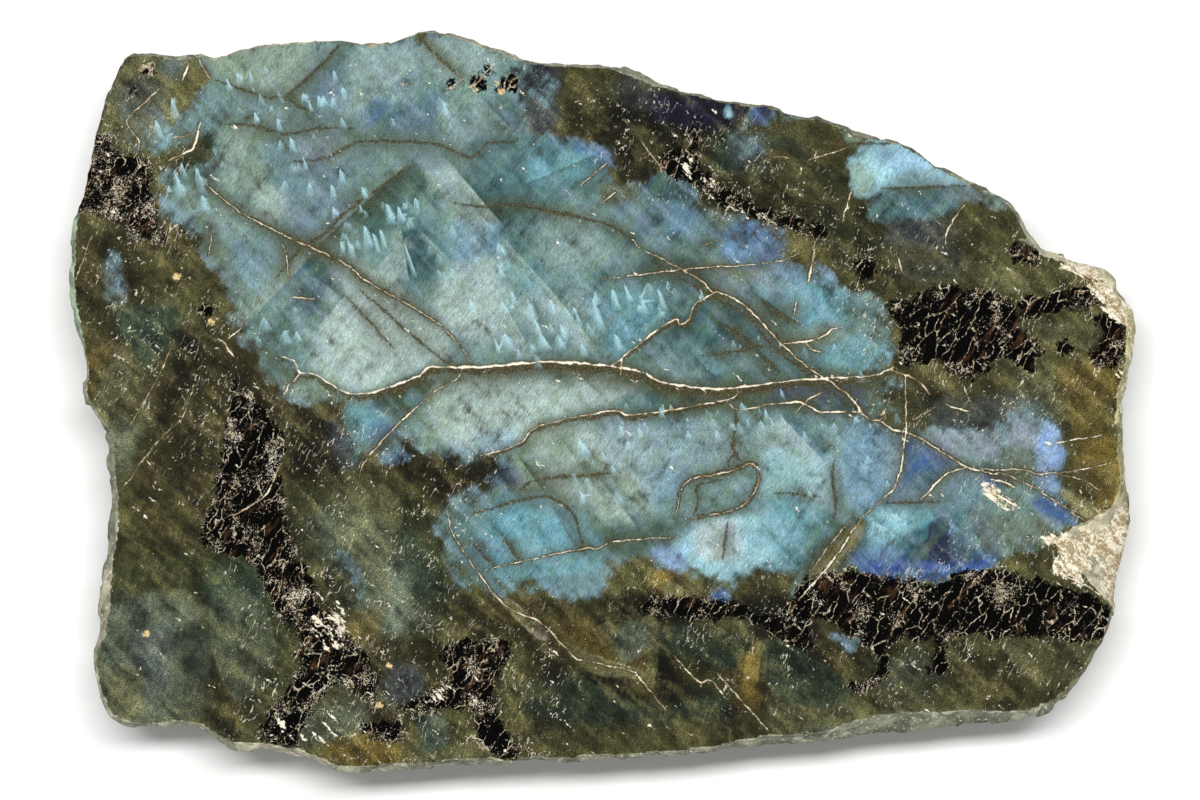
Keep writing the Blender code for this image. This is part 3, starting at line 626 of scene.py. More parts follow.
LINES = [
    # The long vein: its dark band, heavier on one side, is partly crumbly crust and partly a painted shade
    # below the vein.
    great(3, 8, 12, .75, 1, 282,357, 295,362, 300,372, 315,375, 345,392, 360,394, 375,392, 415,378, 430,368,
        440,367, 480,368, 552,362, 632,370, 655,380, 680,386, 725,389, 800,380, 870,376, 893,367),
    vein(1.9, 3, 300,375, 290,385, 285,395),
    vein(1.6, 3.6, 462,370, 458,378, 435,392, 398,425, 365,463, 360,480),
    great(1.3, 4.6, 8, .7, 0, 200,180, 250,218, 342,262, 365,280, 430,318, 455,340, 470,360),
    great(1.9, 5.2, 8, .7, 0, 635,242, 642,249, 695,277, 712,292, 720,293, 745,306, 782,345, 808,368,
        845,393,
        865,417, 880,422, 893,430, 915,436, 962,465, 990,474, 1002,474, 1025,484, 1050,498, 1085,523),
    great(2, 5, 8, .6, -.8, 717,293, 697,303, 688,320, 680,325, 675,320, 655,332, 612,366),
    vein(2, 3.2, 622,358, 621,376),
    vein(1.2, 3, 600,280, 680,270, 768,263, 800,254),
    vein(2.7, 4.3, 780,345, 815,340, 832,330, 842,328),
    vein(2, 3.2, 805,343, 812,350, 825,352),
    great(1.7, 6, 10, .75, .6, 480,456, 505,450, 522,442, 533,430, 555,422, 615,411, 635,415, 727,400,
        738,388,
        745,385),
    vein(2.2, 3.6, 727,402, 738,410, 775,404, 800,403, 820,412, 855,412, 865,418),
    vein(1.7, 3, 795,414, 808,400, 822,392),
    vein(1.7, 3.2, 905,375, 905,433, 897,480, 882,500, 862,517),
    vein(2.7, 4.3, 860,519, 832,560, 798,600),
    vein(.9, 3, 850,520, 825,550, 805,580),
    vein(2, 3.2, 920,500, 945,475, 965,467),
    vein(1.3, 3, 980,470, 1020,470, 1040,474, 1080,470, 1110,463),
    vein(1.2, 3, 1060,475, 1080,480, 1100,490),
    vein(2, 3.2, 1055,443, 1100,436),
    vein(3, 4.8, 984,489, 1016,506),
    vein(2.4, 4.8, 990,480, 1003,482, 1014,488),
    vein(1.6, 3.6, 447,510, 457,540, 502,602, 540,622, 573,655, 583,660, 630,670, 640,678, 668,712),
    vein(1.2, 3, 485,570, 580,549, 595,549, 620,541, 680,537),
    vein(1.7, 3, 673,655, 697,680, 710,680, 725,697),
    vein(1.7, 3, 717,673, 768,730),
    vein(1.8, 3, 188,62, 181,82),
    vein(2, 3.2, 196,56, 210,80),
    vein(1.8, 3, 160,87, 130,115, 127,125, 138,140, 137,150, 133,158),
    vein(2.5, 4.1, 200,122, 195,142, 190,150, 168,160),
    vein(1.7, 3, 192,134, 170,138),
    vein(2, 3.2, 965,203, 948,230, 945,245),
    vein(2.2, 3.6, 898,258, 902,272),
    vein(1.2, 3, 580,186, 608,162),
    vein(1.2, 3, 618,190, 603,202),
    vein(1, 3, 640,140, 660,165),
    vein(1, 3, 765,162, 775,157, 792,158),
    vein(1, 3, 808,160, 850,147),
    vein(1.8, 4.1, 852,190, 842,223),
    vein(2.4, 5.1, 815,250, 808,283),
    vein(1.3, 3, 797,300, 793,318),
    vein(1.3, 3, 698,248, 718,240),
    vein(2, 3.2, 890,370, 915,380, 930,395),
    vein(1.8, 3, 945,405, 968,412),
    vein(1.7, 3, 963,385, 970,403),
    vein(1.8, 3, 912,420, 935,408),
    vein(.9, 3, 92,235, 76,280),
    vein(.8, 3, 175,340, 160,375, 132,425),
    vein(.8, 3, 195,385, 181,425),
    vein(.8, 3, 180,420, 152,450, 122,492),
    vein(2.7, 4.8, 222,340, 235,358),
    vein(1.5, 3, 228,340, 242,328),
    vein(1, 3, 213,230, 208,258),
    vein(.9, 3, 280,240, 285,252, 290,283),
    vein(2, 3.2, 293,298, 315,299),
    vein(2, 3.2, 225,518, 245,510, 260,500, 270,490, 280,465),
    vein(2.4, 3.9, 1046,537, 1058,545, 1070,540, 1052,565, 1062,575, 1085,586, 1105,600),
    vein(2.2, 4.3, 1064,268, 1090,282, 1124,312),
    # The dark band just under the long vein: partly stain, partly a painted shade below it.
    crack(0, 12, .8, 392,396, 420,384, 450,378, 500,376, 550,370, 640,382, 680,392, 730,394, 860,383,
        890,372),
    crack(3.4, 10, .6, 455,203, 485,207, 515,205, 530,207, 605,224, 635,242),
    crack(3.5, 15, .38, 655,262, 700,290, 745,314, 775,348, 850,408),
    hair(215,80, 265,96, 283,97, 300,107, 315,112),
    crack(2.8, 12, .6, 222,124, 250,125, 285,133, 320,128, 355,128),
    crack(2.8, 12, .6, 290,162, 325,158, 350,145, 365,141, 430,143, 460,154, 475,156, 487,143, 510,142,
        520,138),
    hair(418,33, 432,50, 461,77),
    hair(340,42, 315,70, 283,98),
    crack(3.4, 10, .6, 410,165, 345,213, 330,230, 300,250, 275,280),
    hair(360,290, 437,356, 455,362),
    crack(1.8, 8, .6, 345,295, 395,350),
    hair(715,320, 760,348),
    hair(760,355, 780,373),
    hair(760,300, 775,312, 800,325),
    hair(700,357, 775,345),
    crack(3.4, 10, .6, 520,490, 540,480, 620,473),
    crack(3.4, 10, .6, 470,515, 535,497, 555,500, 570,510, 578,525, 585,555),
    hair(470,540, 497,570),
    hair(505,537, 522,565),
    crack(3.4, 10, .6, 740,135, 815,117),
    crack(3.4, 10, .6, 770,130, 830,142, 900,143),
    hair(727,522, 722,560),
    hair(835,460, 832,475, 835,505, 833,520),
    hair(775,493, 820,497),
    hair(880,189, 968,185),
    hair(905,248, 940,260),
    hair(885,503, 940,502),
    great(1.1, 5.5, 7, .7, 0, 676,519, 681,491, 690,480, 728,472, 750,464, 757,472, 757,485, 738,508,
        684,520),
    crack(2.6, 5, .4, 694,514, 698,500, 696,488, 708,482, 722,480),
    crack(3.6, 7, .6, 735,412, 736,424, 733,440, 735,455, 744,463),
    crack(2.2, 5, .4, 740,470, 728,466, 734,452),
    crack(0, 11, .5, 200,182, 235,209, 342,264, 437,327),
]

DARK_PATCHES = [
    corners(64,140, 98,133, 112,138, 120,155, 145,160, 152,175, 158,215, 164,235, 162,245, 138,240, 110,222,
        88,212, 60,207),
    corners(235,380, 255,395, 278,425, 286,442, 282,482, 291,530, 302,562, 316,580, 320,600, 338,612,
        350,635,
        375,660, 378,690, 385,710, 375,715, 358,690, 345,680, 322,700, 304,728, 297,745, 270,742, 260,732,
        270,710, 295,680, 300,665, 298,635, 285,620, 270,592, 250,568, 220,553, 200,535, 210,515, 218,480,
        222,440, 230,400),
    corners(440,650, 480,640, 515,640, 495,685, 500,715, 520,755, 500,757, 478,738, 472,710, 410,712,
        403,705,
        450,675),
    corners(362,725, 380,718, 400,720, 410,732, 388,742),
    corners(660,158, 672,150, 692,152, 700,150, 704,168, 737,196, 825,228, 822,238, 796,232, 722,204,
        696,184,
        670,180),
    corners(690,128, 698,130, 700,150, 690,152),
    corners(1008,245, 1020,240, 1040,255, 1037,265, 1025,264, 1010,255),
    corners(1020,300, 1085,288, 1108,300, 1095,308, 1030,318, 1018,312),
    corners(857,260, 868,254, 875,262, 875,275, 868,282, 856,270),
    corners(885,312, 895,300, 950,288, 985,292, 1010,305, 1018,312, 1020,325, 1040,345, 1038,360, 1030,372,
        1005,362, 980,378, 955,378, 930,362, 900,368, 897,335),
    corners(1095,318, 1110,308, 1125,325, 1117,368, 1105,370, 1088,355, 1100,335),
    corners(1058,344, 1066,340, 1072,348, 1065,356, 1058,352),
    corners(740,610, 780,610, 800,585, 840,570, 925,582, 960,572, 1005,573, 1080,590, 1113,605, 1118,618,
        1108,637, 1060,640, 965,635, 945,650, 945,670, 925,672, 930,645, 895,640, 882,680, 865,682, 875,655,
        840,632, 810,620, 812,635, 805,648, 745,620),
    corners(640,600, 700,596, 742,606, 742,618, 690,620, 645,614),
    corners(850,684, 865,680, 866,690, 852,693),
    corners(143,68, 150,62, 157,68, 150,76),
    corners(126,91, 132,85, 138,91, 132,97),
    corners(197,310, 205,302, 213,310, 205,318),
    corners(470,80, 478,73, 487,80, 478,88),
    corners(403,84, 408,80, 412,85, 407,89),
    corners(446,83, 451,79, 455,84, 450,88),
    corners(484,66, 490,66, 496,72, 489,73),
    corners(503,76, 518,77, 514,90, 498,93, 500,84),
    corners(533,68, 538,64, 542,68, 537,72),
    corners(457,76, 462,72, 465,77, 461,80),
]

# Where the stone is full of short pale flecks.
FLECKED = [
    patch(OLIVE, 30, .75, 150,300, 240,340, 300,400, 480,430, 490,520, 430,560, 420,760, 240,760, 250,620,
        190,540, 150,420),
    spot(OLIVE, 24, .7, 380,600, 560,770),
    patch(OLIVE, 22, .5, 580,90, 740,120, 880,240, 900,380, 820,300, 700,220, 600,160),
    spot(OLIVE, 20, .5, 60,120, 180,420),
    spot(OLIVE, 8, 1, 60,120, 180,250),
    spot(OLIVE, 20, .45, 860,240, 1130,440),
    spot(OLIVE, 20, .45, 640,560, 1120,700),
    spot(OLIVE, 16, .6, 960,470, 1120,600),
]

# Where it has crumbled to pale chalk.
CHALKY = [
    patch(OLIVE, 8, 1, 1084,530, 1104,524, 1130,500, 1135,610, 1112,606, 1098,590, 1104,566, 1086,550),
    patch(OLIVE, 9, .8, 1044,536, 1086,536, 1096,556, 1080,590, 1056,576, 1060,556),
    patch(OLIVE, 6, .6, 980,482, 1000,484, 1020,500, 1016,508, 990,500),
    spot(OLIVE, 7, .4, 312,604, 352,650),
    patch(OLIVE, 8, .22, 660,158, 700,150, 740,196, 820,225, 815,238, 740,212, 690,184),
    patch(OLIVE, 7, .75, 1060,262, 1090,268, 1125,300, 1130,330, 1118,325, 1090,292),
    spot(OLIVE, 6, .4, 1118,330, 1136,430),
    patch(OLIVE, 8, .22, 270,728, 330,700, 340,740, 300,760, 270,748),
    patch(OLIVE, 6, .35, 410,700, 426,690, 460,688, 426,712, 412,712),
]

# The rim, where it isn't the common grey-green. The pale mint along the left is a painted highlight.
RIM_PATCHES = [
    spot(BARK, 14, .8, 60,40, 130,215),
    # painted highlight: pale mint along the left rim
    spot(MINT, 12, .4, 50,215, 95,345),
    spot(CHALK, 14, .35, 90,560, 140,745),
    spot(CHALK, 12, .5, 240,725, 350,775),
    spot(STRAW, 12, .75, 1040,250, 1150,520),
    spot(CHALK, 12, .6, 1030,240, 1120,310),
    spot(CHALK, 10, .7, 1040,500, 1150,610),
    spot(OLIVE, 10, .7, 1040,610, 1140,700),
    patch(BARK, 14, .4, 640,90, 860,90, 960,170, 900,200, 700,130),
]

# Fields of small bright teeth: their number, the longest one's height in plan units, and the outline.
TOOTH_FIELDS = [
    (12, 14, corners(225,60, 350,60, 350,120, 235,110)),
    (6, 18, corners(165,165, 210,170, 205,210, 170,205)),
    (8, 12, corners(250,105, 350,120, 350,190, 270,180)),
    (9, 16, corners(340,185, 420,190, 410,250, 335,238)),
    (4, 12, corners(380,90, 470,90, 460,130, 390,130)),
    (12, 14, corners(400,220, 520,230, 520,300, 400,290)),
    (12, 18, corners(570,282, 690,278, 660,312, 560,330)),
    (16, 20, corners(470,300, 600,300, 590,356, 480,356)),
    (6, 16, corners(230,300, 300,300, 300,350, 240,340)),
    (40, 12, corners(590,404, 720,400, 900,410, 880,432, 600,432)),
    (10, 16, corners(540,440, 640,440, 620,500, 550,490)),
    (8, 14, corners(720,320, 860,340, 860,390, 740,360)),
    (5, 12, corners(780,440, 900,440, 880,500, 780,490)),
]

# Teeth of bright flash: the tip of each, its height and its width, in plan units.
TEETH = [
    (237, 72, 14, 5), (226, 78, 12, 4), (249, 70, 12, 4), (171, 98, 22, 7), (155, 120, 21, 9),
    (174, 172, 27, 9), (181, 163, 17, 5), (196, 168, 19, 6), (254, 112, 11, 4), (277, 118, 14, 5),
    (290, 138, 14, 5), (303, 158, 12, 4), (303, 93, 11, 4), (308, 100, 12, 4), (318, 95, 12, 5),
    (332, 97, 11, 4), (333, 70, 12, 4), (342, 87, 12, 4), (340, 170, 14, 4), (309, 183, 13, 4),
    (331, 185, 13, 4), (333, 207, 11, 4), (442, 100, 16, 6), (362, 187, 13, 4), (415, 198, 13, 4),
    (386, 204, 22, 7), (398, 207, 17, 6), (364, 226, 24, 7), (347, 238, 22, 6), (380, 230, 20, 4),
    (373, 234, 20, 4), (340, 242, 14, 4), (405, 245, 35, 3), (498, 243, 15, 5), (470, 300, 14, 4),
    (512, 292, 13, 4), (495, 340, 15, 4), (592, 300, 33, 9), (612, 290, 21, 6), (625, 286, 17, 4),
    (640, 296, 20, 7), (658, 290, 22, 7), (700, 290, 10, 4), (615, 335, 18, 5), (580, 440, 20, 8),
    (580, 492, 12, 4), (765, 410, 11, 4), (780, 390, 11, 4), (550, 300, 16, 4), (560, 325, 17, 5),
    (535, 320, 14, 4), (575, 310, 16, 4),
]

# Bright grains of gold-coloured mineral: middle and radius, in plan units.
GOLD_GRAINS = [
    (177, 277, 4.5), (380, 705, 4.5), (390, 665, 3.5), (496, 82, 3.5), (501, 91, 4), (212, 322, 4),
    (148, 634, 4),
]


# ---- Measuring on the sheet.

OUT_OF_REACH = 40.0  # plan units: a point this far from a line doesn't feel it


def smoothed(route: Sequence[tuple[float, float]], spacing: float, closed: bool = False) -> np.ndarray:
    """Points at an even spacing along a smooth curve (Catmull-Rom) through a route.

    Args:
        route: The points that it runs through, in plan units.
        spacing: The distance between its own points, in plan units.
        closed: Whether it comes back to its first point.

    Returns:
        The points, one a row.
    """
    corners = np.array(route, float)
    if closed:
        corners = np.concatenate([corners[-1:], corners, corners[:2]])
    else:
        first, last = 2 * corners[:1] - corners[1:2], 2 * corners[-1:] - corners[-2:-1]
        corners = np.concatenate([first, corners, last])
    pieces = []
    for before, start, end, after in zip(corners, corners[1:], corners[2:], corners[3:]):
        steps = max(1, round(float(np.hypot(*(end - start))) / spacing))
        t = np.linspace(0, 1, steps, endpoint=False)[:, None]
        pieces.append(
            0.5 * (2 * start + (end - before) * t + (2 * before - 5 * start + 4 * end - after) * t**2
                   + (3 * start - before - 3 * end + after) * t**3)
        )
    if not closed:
        pieces.append(corners[-2:-1])
    return np.concatenate(pieces)


def ring_of(loop: np.ndarray) -> np.ndarray:
    """A loop with its first point repeated at its end."""
    return np.concatenate([loop, loop[:1]])


def shaken(points: np.ndarray, size: float, depth: float) -> np.ndarray:
    """The points moved a little by noise, so that a line looks broken and not drawn.

    Args:
        points: Points in plan units.
        size: The size of the noise's waves, in plan units.
        depth: How far a point moves at most, in plan units.

    Returns:
        The moved points.
    """
    moves = [noise.noise_vector(Vector((x / size, y / size, size)))[:2] for x, y in points]
    return points + depth * np.array(moves)


def beside(line: np.ndarray, gap: float) -> np.ndarray:
    """Points on the two sides of a line, at a gap from it."""
    step = np.gradient(line, axis=0)
    across = np.stack([-step[:, 1], step[:, 0]], 1) / np.maximum(np.hypot(*step.T), 1e-6)[:, None]
    return np.concatenate([line + across * gap, line - across * gap])


def gap_to(points: np.ndarray, line: np.ndarray) -> tuple[np.ndarray, np.ndarray, np.ndarray]:
    """How far points lie from a line, and where.

    Args:
        points: The points, in plan units.
        line: The line's own points.

    Returns:
        The distances, which stop at OUT_OF_REACH, the shares of the line's length that the points lie
        beside, from 0 to 1, and the sides that they lie on: -1 or 1.
    """
    gaps, shares, sides = np.full(len(points), OUT_OF_REACH), np.zeros(len(points)), np.ones(len(points))
    low, high = line.min(0) - OUT_OF_REACH, line.max(0) + OUT_OF_REACH
    near = np.flatnonzero(((points > low) & (points < high)).all(1))
    start, run = line[:-1], np.diff(line, axis=0)
    square = np.maximum((run**2).sum(1), 1e-9)
    for some in np.array_split(near, max(1, len(near) * len(run) // 2_000_000)):
        offset = points[some][:, None, :] - start[None]
        along = np.clip((offset * run).sum(2) / square, 0, 1)
        away = offset - along[..., None] * run
        distance = np.hypot(away[..., 0], away[..., 1])
        nearest = distance.argmin(1)
        rows = np.arange(len(some))
        gaps[some] = np.minimum(distance[rows, nearest], OUT_OF_REACH)
        shares[some] = (nearest + along[rows, nearest]) / len(run)
        ahead, aside = run[nearest], away[rows, nearest]
        sides[some] = np.where(ahead[:, 0] * aside[:, 1] - ahead[:, 1] * aside[:, 0] < 0, -1.0, 1.0)
    return gaps, shares, sides


def is_inside(points: np.ndarray, loop: np.ndarray) -> np.ndarray:
    """Whether points lie inside a closed loop.

    Args:
        points: The points, in plan units.
        loop: The loop's corners, with the first one not repeated.

    Returns:
        True or False for each point.
    """
    found = np.zeros(len(points), bool)
    near = np.flatnonzero(((points > loop.min(0)) & (points < loop.max(0))).all(1))
    x, y = points[near].T
    within = np.zeros(len(near), bool)
    for (x0, y0), (x1, y1) in zip(loop, np.roll(loop, -1, axis=0)):
        if y0 != y1:
            within ^= ((y0 > y) != (y1 > y)) & (x < (x1 - x0) * (y - y0) / (y1 - y0) + x0)
    found[near] = within
    return found


def depth_in(points: np.ndarray, loop: np.ndarray) -> np.ndarray:
    """How deep points lie inside a loop, in plan units: below 0 outside it."""
    gaps, _, _ = gap_to(points, ring_of(loop))
    return np.where(is_inside(points, loop), gaps, -gaps)


def eased(values: np.ndarray, low: float, high: float) -> np.ndarray:
    """0 up to low, 1 from high, and a smooth rise between them."""
    share = np.clip((values - low) / (high - low), 0, 1)
    return share * share * (3 - 2 * share)


def noise_at(points: np.ndarray, size: float, seed: float = 0.0) -> np.ndarray:
    """Smooth noise from about -1 to 1 at each point of the sheet, with waves of one size."""
    return np.array([noise.noise(Vector((x / size, y / size, seed))) for x, y in points])


class Sheet:
    """Where the drawing's sheet lies over the stone."""

    LEFT, RIGHT = 66.5, 1138.05  # how far the stone's outline reaches on the sheet, in plan units
    TOP, BOTTOM = 29.4, 772.1

    def __init__(self, low: Vector, high: Vector) -> None:
        """Lays the sheet over the stone's box, given its lowest and highest corners."""
        self.unit: float = (high.x - low.x) / (self.RIGHT - self.LEFT)
        self.middle = np.array([(self.LEFT + self.RIGHT) / 2, (self.TOP + self.BOTTOM) / 2])
        self.over = np.array([(low.x + high.x) / 2, (low.y + high.y) / 2])

    def from_stone(self, places: np.ndarray) -> np.ndarray:
        """The sheet's points under places of the stone, in metres."""
        return (places[:, :2] - self.over) / self.unit * (1, -1) + self.middle

    def to_stone(self, points: np.ndarray) -> np.ndarray:
        """The places of the stone under the sheet's points, in metres."""
        return (points - self.middle) * (1, -1) * self.unit + self.over


class Drawing:
    """The markings, as lines to cut into the mesh and as values at any point of the sheet."""

    LINE_SPACING = 2.6
    LINE_WAVE, LINE_SHAKE = 6.0, 1.3  # the size of a line's ripples, and how far they move it
    LOOP_SPACING = 3.0
    LOOP_WAVE, LOOP_SHAKE = 9.0, 4.0
    SOFT_SPACING = 8.0  # between the points of a soft patch's outline
    BROAD_WAVE, BROAD_SHAKE = 60.0, 9.0  # the broad waves of a soft patch's outline
    SMALL_WAVE, SMALL_SHAKE = 22.0, 6.0  # the small waves on them
    ROW_GAP = 2.0  # from a line to the rows of points on its two sides
    CRISP_GAP = 0.9  # from a crisp edge to the rows on its two sides
    CRISP = 4.0  # a patch with a shorter feather than this has a crisp edge
    TAPER = 0.30  # a line's width at its ends, as a share of its full width
    TOOTH_LEAN = 0.34  # how far a tooth leans over, as a share of its height
    FACET_FADE = 12.0  # how long a facet takes to fade out at its ends, in plan units
    SEED = 23

    def __init__(self) -> None:
        """Smooths every line and loop of the drawing once."""
        self.lines = [(self._line(line.route), line) for line in LINES]
        self.loops = [self._loop(edge) for edge in DARK_PATCHES]
        self.teeth = [(self._tooth(*tooth), 1.0) for tooth in TEETH] + self._scattered_teeth()
        ends = dict.fromkeys((facet.start, facet.end) for facet in FACETS)
        self.edges = [smoothed(pair, self.LOOP_SPACING) for pair in ends]
        self.crisp = {
            id(patch): self._loop(patch.edge, 1.5)
            for patch in MATRIX_PATCHES + FLASH_PATCHES + STRAY_FLASHES
            if patch.feather < self.CRISP
        }

    def _line(self, route: Route) -> np.ndarray:
        """A line's route, smoothed and shaken."""
        return shaken(smoothed(route, self.LINE_SPACING), self.LINE_WAVE, self.LINE_SHAKE)

    def _loop(self, edge: Route, shake: float = LOOP_SHAKE) -> np.ndarray:
        """A loop's edge, smoothed and shaken."""
        return shaken(smoothed(edge, self.LOOP_SPACING, closed=True), self.LOOP_WAVE, shake)

    def _tooth(self, tip_x: float, tip_y: float, height: float, width: float) -> np.ndarray:
        """The corners of one tooth: its tip, and its left and right foot."""
        x, y = tip_x + height * self.TOOTH_LEAN, tip_y + height
        return np.array([(tip_x, tip_y), (x - width * 1.1, y + 3), (x + width * 0.5, y)], float)

    def _scattered_teeth(self) -> list[tuple[np.ndarray, float]]:
        """The small teeth, strewn over their fields, each with its brightness."""
        dice = random.Random(self.SEED)
        teeth = []
        for count, highest, edge in TOOTH_FIELDS:
            loop = np.array(edge, float)
            low, high = loop.min(0), loop.max(0)
            left = count
            while left:
                x, y = dice.uniform(low[0], high[0]), dice.uniform(low[1], high[1])
                if is_inside(np.array([(x, y)]), loop)[0]:
                    height = highest * dice.uniform(0.35, 1.0) ** 1.5
                    width = height * dice.uniform(0.45, 0.8)
                    teeth.append((self._tooth(x, y, height, width), dice.uniform(0.25, 0.95)))
                    left -= 1
        return teeth

    def constraint_lines(self) -> list[np.ndarray]:
        """The lines and loops that the mesh's edges follow."""
        loops = self.loops + [tooth for tooth, _ in self.teeth] + list(self.crisp.values())
        return [line for line, _ in self.lines] + self.edges + [ring_of(loop) for loop in loops]

    def side_rows(self) -> np.ndarray:
        """Points beside each line, which hold its colour to its own width."""
        rows = [beside(line, self.ROW_GAP) for line, _ in self.lines]
        crisp = [tooth for tooth, _ in self.teeth] + list(self.crisp.values())
        rows += [beside(line, self.CRISP_GAP) for line in self.edges + [ring_of(loop) for loop in crisp]]
        return np.concatenate(rows)

    def line_values(self, points: np.ndarray) -> dict[str, np.ndarray]:
        """What the lines do at each point.

        Args:
            points: The points, in plan units.

        Returns:
            "vein_gap" and "core_gap", the distances from the pale mineral and from the dark middle of
            the nearest line, in plan units, and "stain", how stained the stone is, from 0 to 1.
        """
        vein = np.full(len(points), OUT_OF_REACH)
        core = np.full(len(points), OUT_OF_REACH)
        stain = np.zeros(len(points))
        for line, kind in self.lines:
            gaps, shares, sides = gap_to(points, line)
            near = np.flatnonzero(gaps < OUT_OF_REACH)
            gap, beside_it = gaps[near], points[near]
            taper = self.TAPER + (1 - self.TAPER) * np.sqrt(np.clip(np.sin(math.pi * shares[near]), 0, 1))
            swell = noise_at(beside_it, 9.0, kind.cream) + 0.6 * noise_at(beside_it, 3.6, 7.0)
            if kind.cream:
                vein[near] = np.minimum(vein[near], gap - kind.cream * (0.34 + 0.46 * swell) * taper)
            if kind.core:
                off = np.abs(gap * sides[near] - kind.lean * kind.core * 0.45)
                core[near] = np.minimum(core[near], off - kind.core / 2 * taper * (1 + 0.9 * swell))
            reach = kind.stain * (0.7 + 0.5 * taper + 0.5 * noise_at(beside_it, 22.0, 3.0))
            reach *= np.where(sides[near] * kind.lean < 0, 1 - abs(kind.lean) * 0.75, 1.0)
            fade = kind.depth * taper * np.exp(-((gap / np.maximum(reach, 1.0)) ** 2))
            stain[near] = 1 - (1 - stain[near]) * (1 - fade)
        return {"vein_gap": vein, "core_gap": core, "stain": stain}

    def dark_depth(self, points: np.ndarray) -> np.ndarray:
        """How deep each point lies inside the dark patches, in plan units."""
        return np.max([depth_in(points, loop) for loop in self.loops], axis=0)

    def tooth_glow(self, points: np.ndarray) -> np.ndarray:
        """How bright the teeth make each point: the right edge of each is its brightest."""
        glow = np.zeros(len(points))
        for tooth, light in self.teeth:
            near = np.flatnonzero((np.abs(points - tooth.mean(0)) < 40).all(1))
            tip, left, right = tooth
            frame = np.linalg.inv(np.stack([left - tip, right - tip], 1))
            to_left, to_right = frame @ (points[near] - tip).T
            within = (to_left > -0.03) & (to_right > -0.03) & (to_left + to_right < 1.03)
            along = to_left + to_right
            shine = (1 - 0.95 * to_left / np.maximum(along, 1e-3)) * eased(along, 1.0, 0.55) * light
            glow[near] = np.maximum(glow[near], np.where(within, np.clip(shine, 0, 1), 0))
        return glow

    def grain_depth(self, points: np.ndarray) -> np.ndarray:
        """How deep each point lies inside the gold-coloured grains, in plan units."""
        return np.max([radius - np.hypot(*(points - (x, y)).T) for x, y, radius in GOLD_GRAINS], axis=0)

    def painted(self, points: np.ndarray, patches: Iterable[Patch], under: Colour) -> np.ndarray:
        """The patches painted one over another.

        Args:
            points: The points, in plan units.
            patches: The patches, from the lowest to the highest.
            under: The colour under them all.

        Returns:
            Red, green, blue and how much is painted, one row a point.
        """
        wide = shaken(points, self.BROAD_WAVE, self.BROAD_SHAKE)
        wide = shaken(wide, self.SMALL_WAVE, self.SMALL_SHAKE)
        colours = np.tile(np.array([*under, 0.0]), (len(points), 1))
        for patch in patches:
            if id(patch) in self.crisp:
                depth, reach = depth_in(points, self.crisp[id(patch)]), self.CRISP_GAP
            else:
                outline = smoothed(patch.edge, self.SOFT_SPACING, closed=True)
                depth, reach = depth_in(wide, outline), patch.feather
            cover = (patch.weight * eased(depth, -reach, reach))[:, None]
            colours[:, :3] += cover * (np.array(patch.tint.value) - colours[:, :3])
            colours[:, 3:] += cover * (1 - colours[:, 3:])
        return colours

    def sheen(self, points: np.ndarray, rows: np.ndarray) -> np.ndarray:
        """Lays the facets over the rows of colours that are painted at the points."""
        for facet in FACETS:
            start, length = np.array(facet.start, float), math.dist(facet.start, facet.end)
            along = (np.array(facet.end) - start) / length
            far = (points - start) @ along
            away = (points - start) @ (-along[1], along[0]) * math.copysign(1, facet.reach)
            fade = eased(away, -self.CRISP_GAP, self.CRISP_GAP) * np.clip(1 - away / abs(facet.reach), 0, 1)
            ends = eased(far, 0, self.FACET_FADE) * eased(length - far, 0, self.FACET_FADE)
            cover = (facet.weight * fade * ends)[:, None]
            rows[:, :3] += cover * (np.array(facet.tint.value) - rows[:, :3])
        return rows


# ---- The stone's mesh.


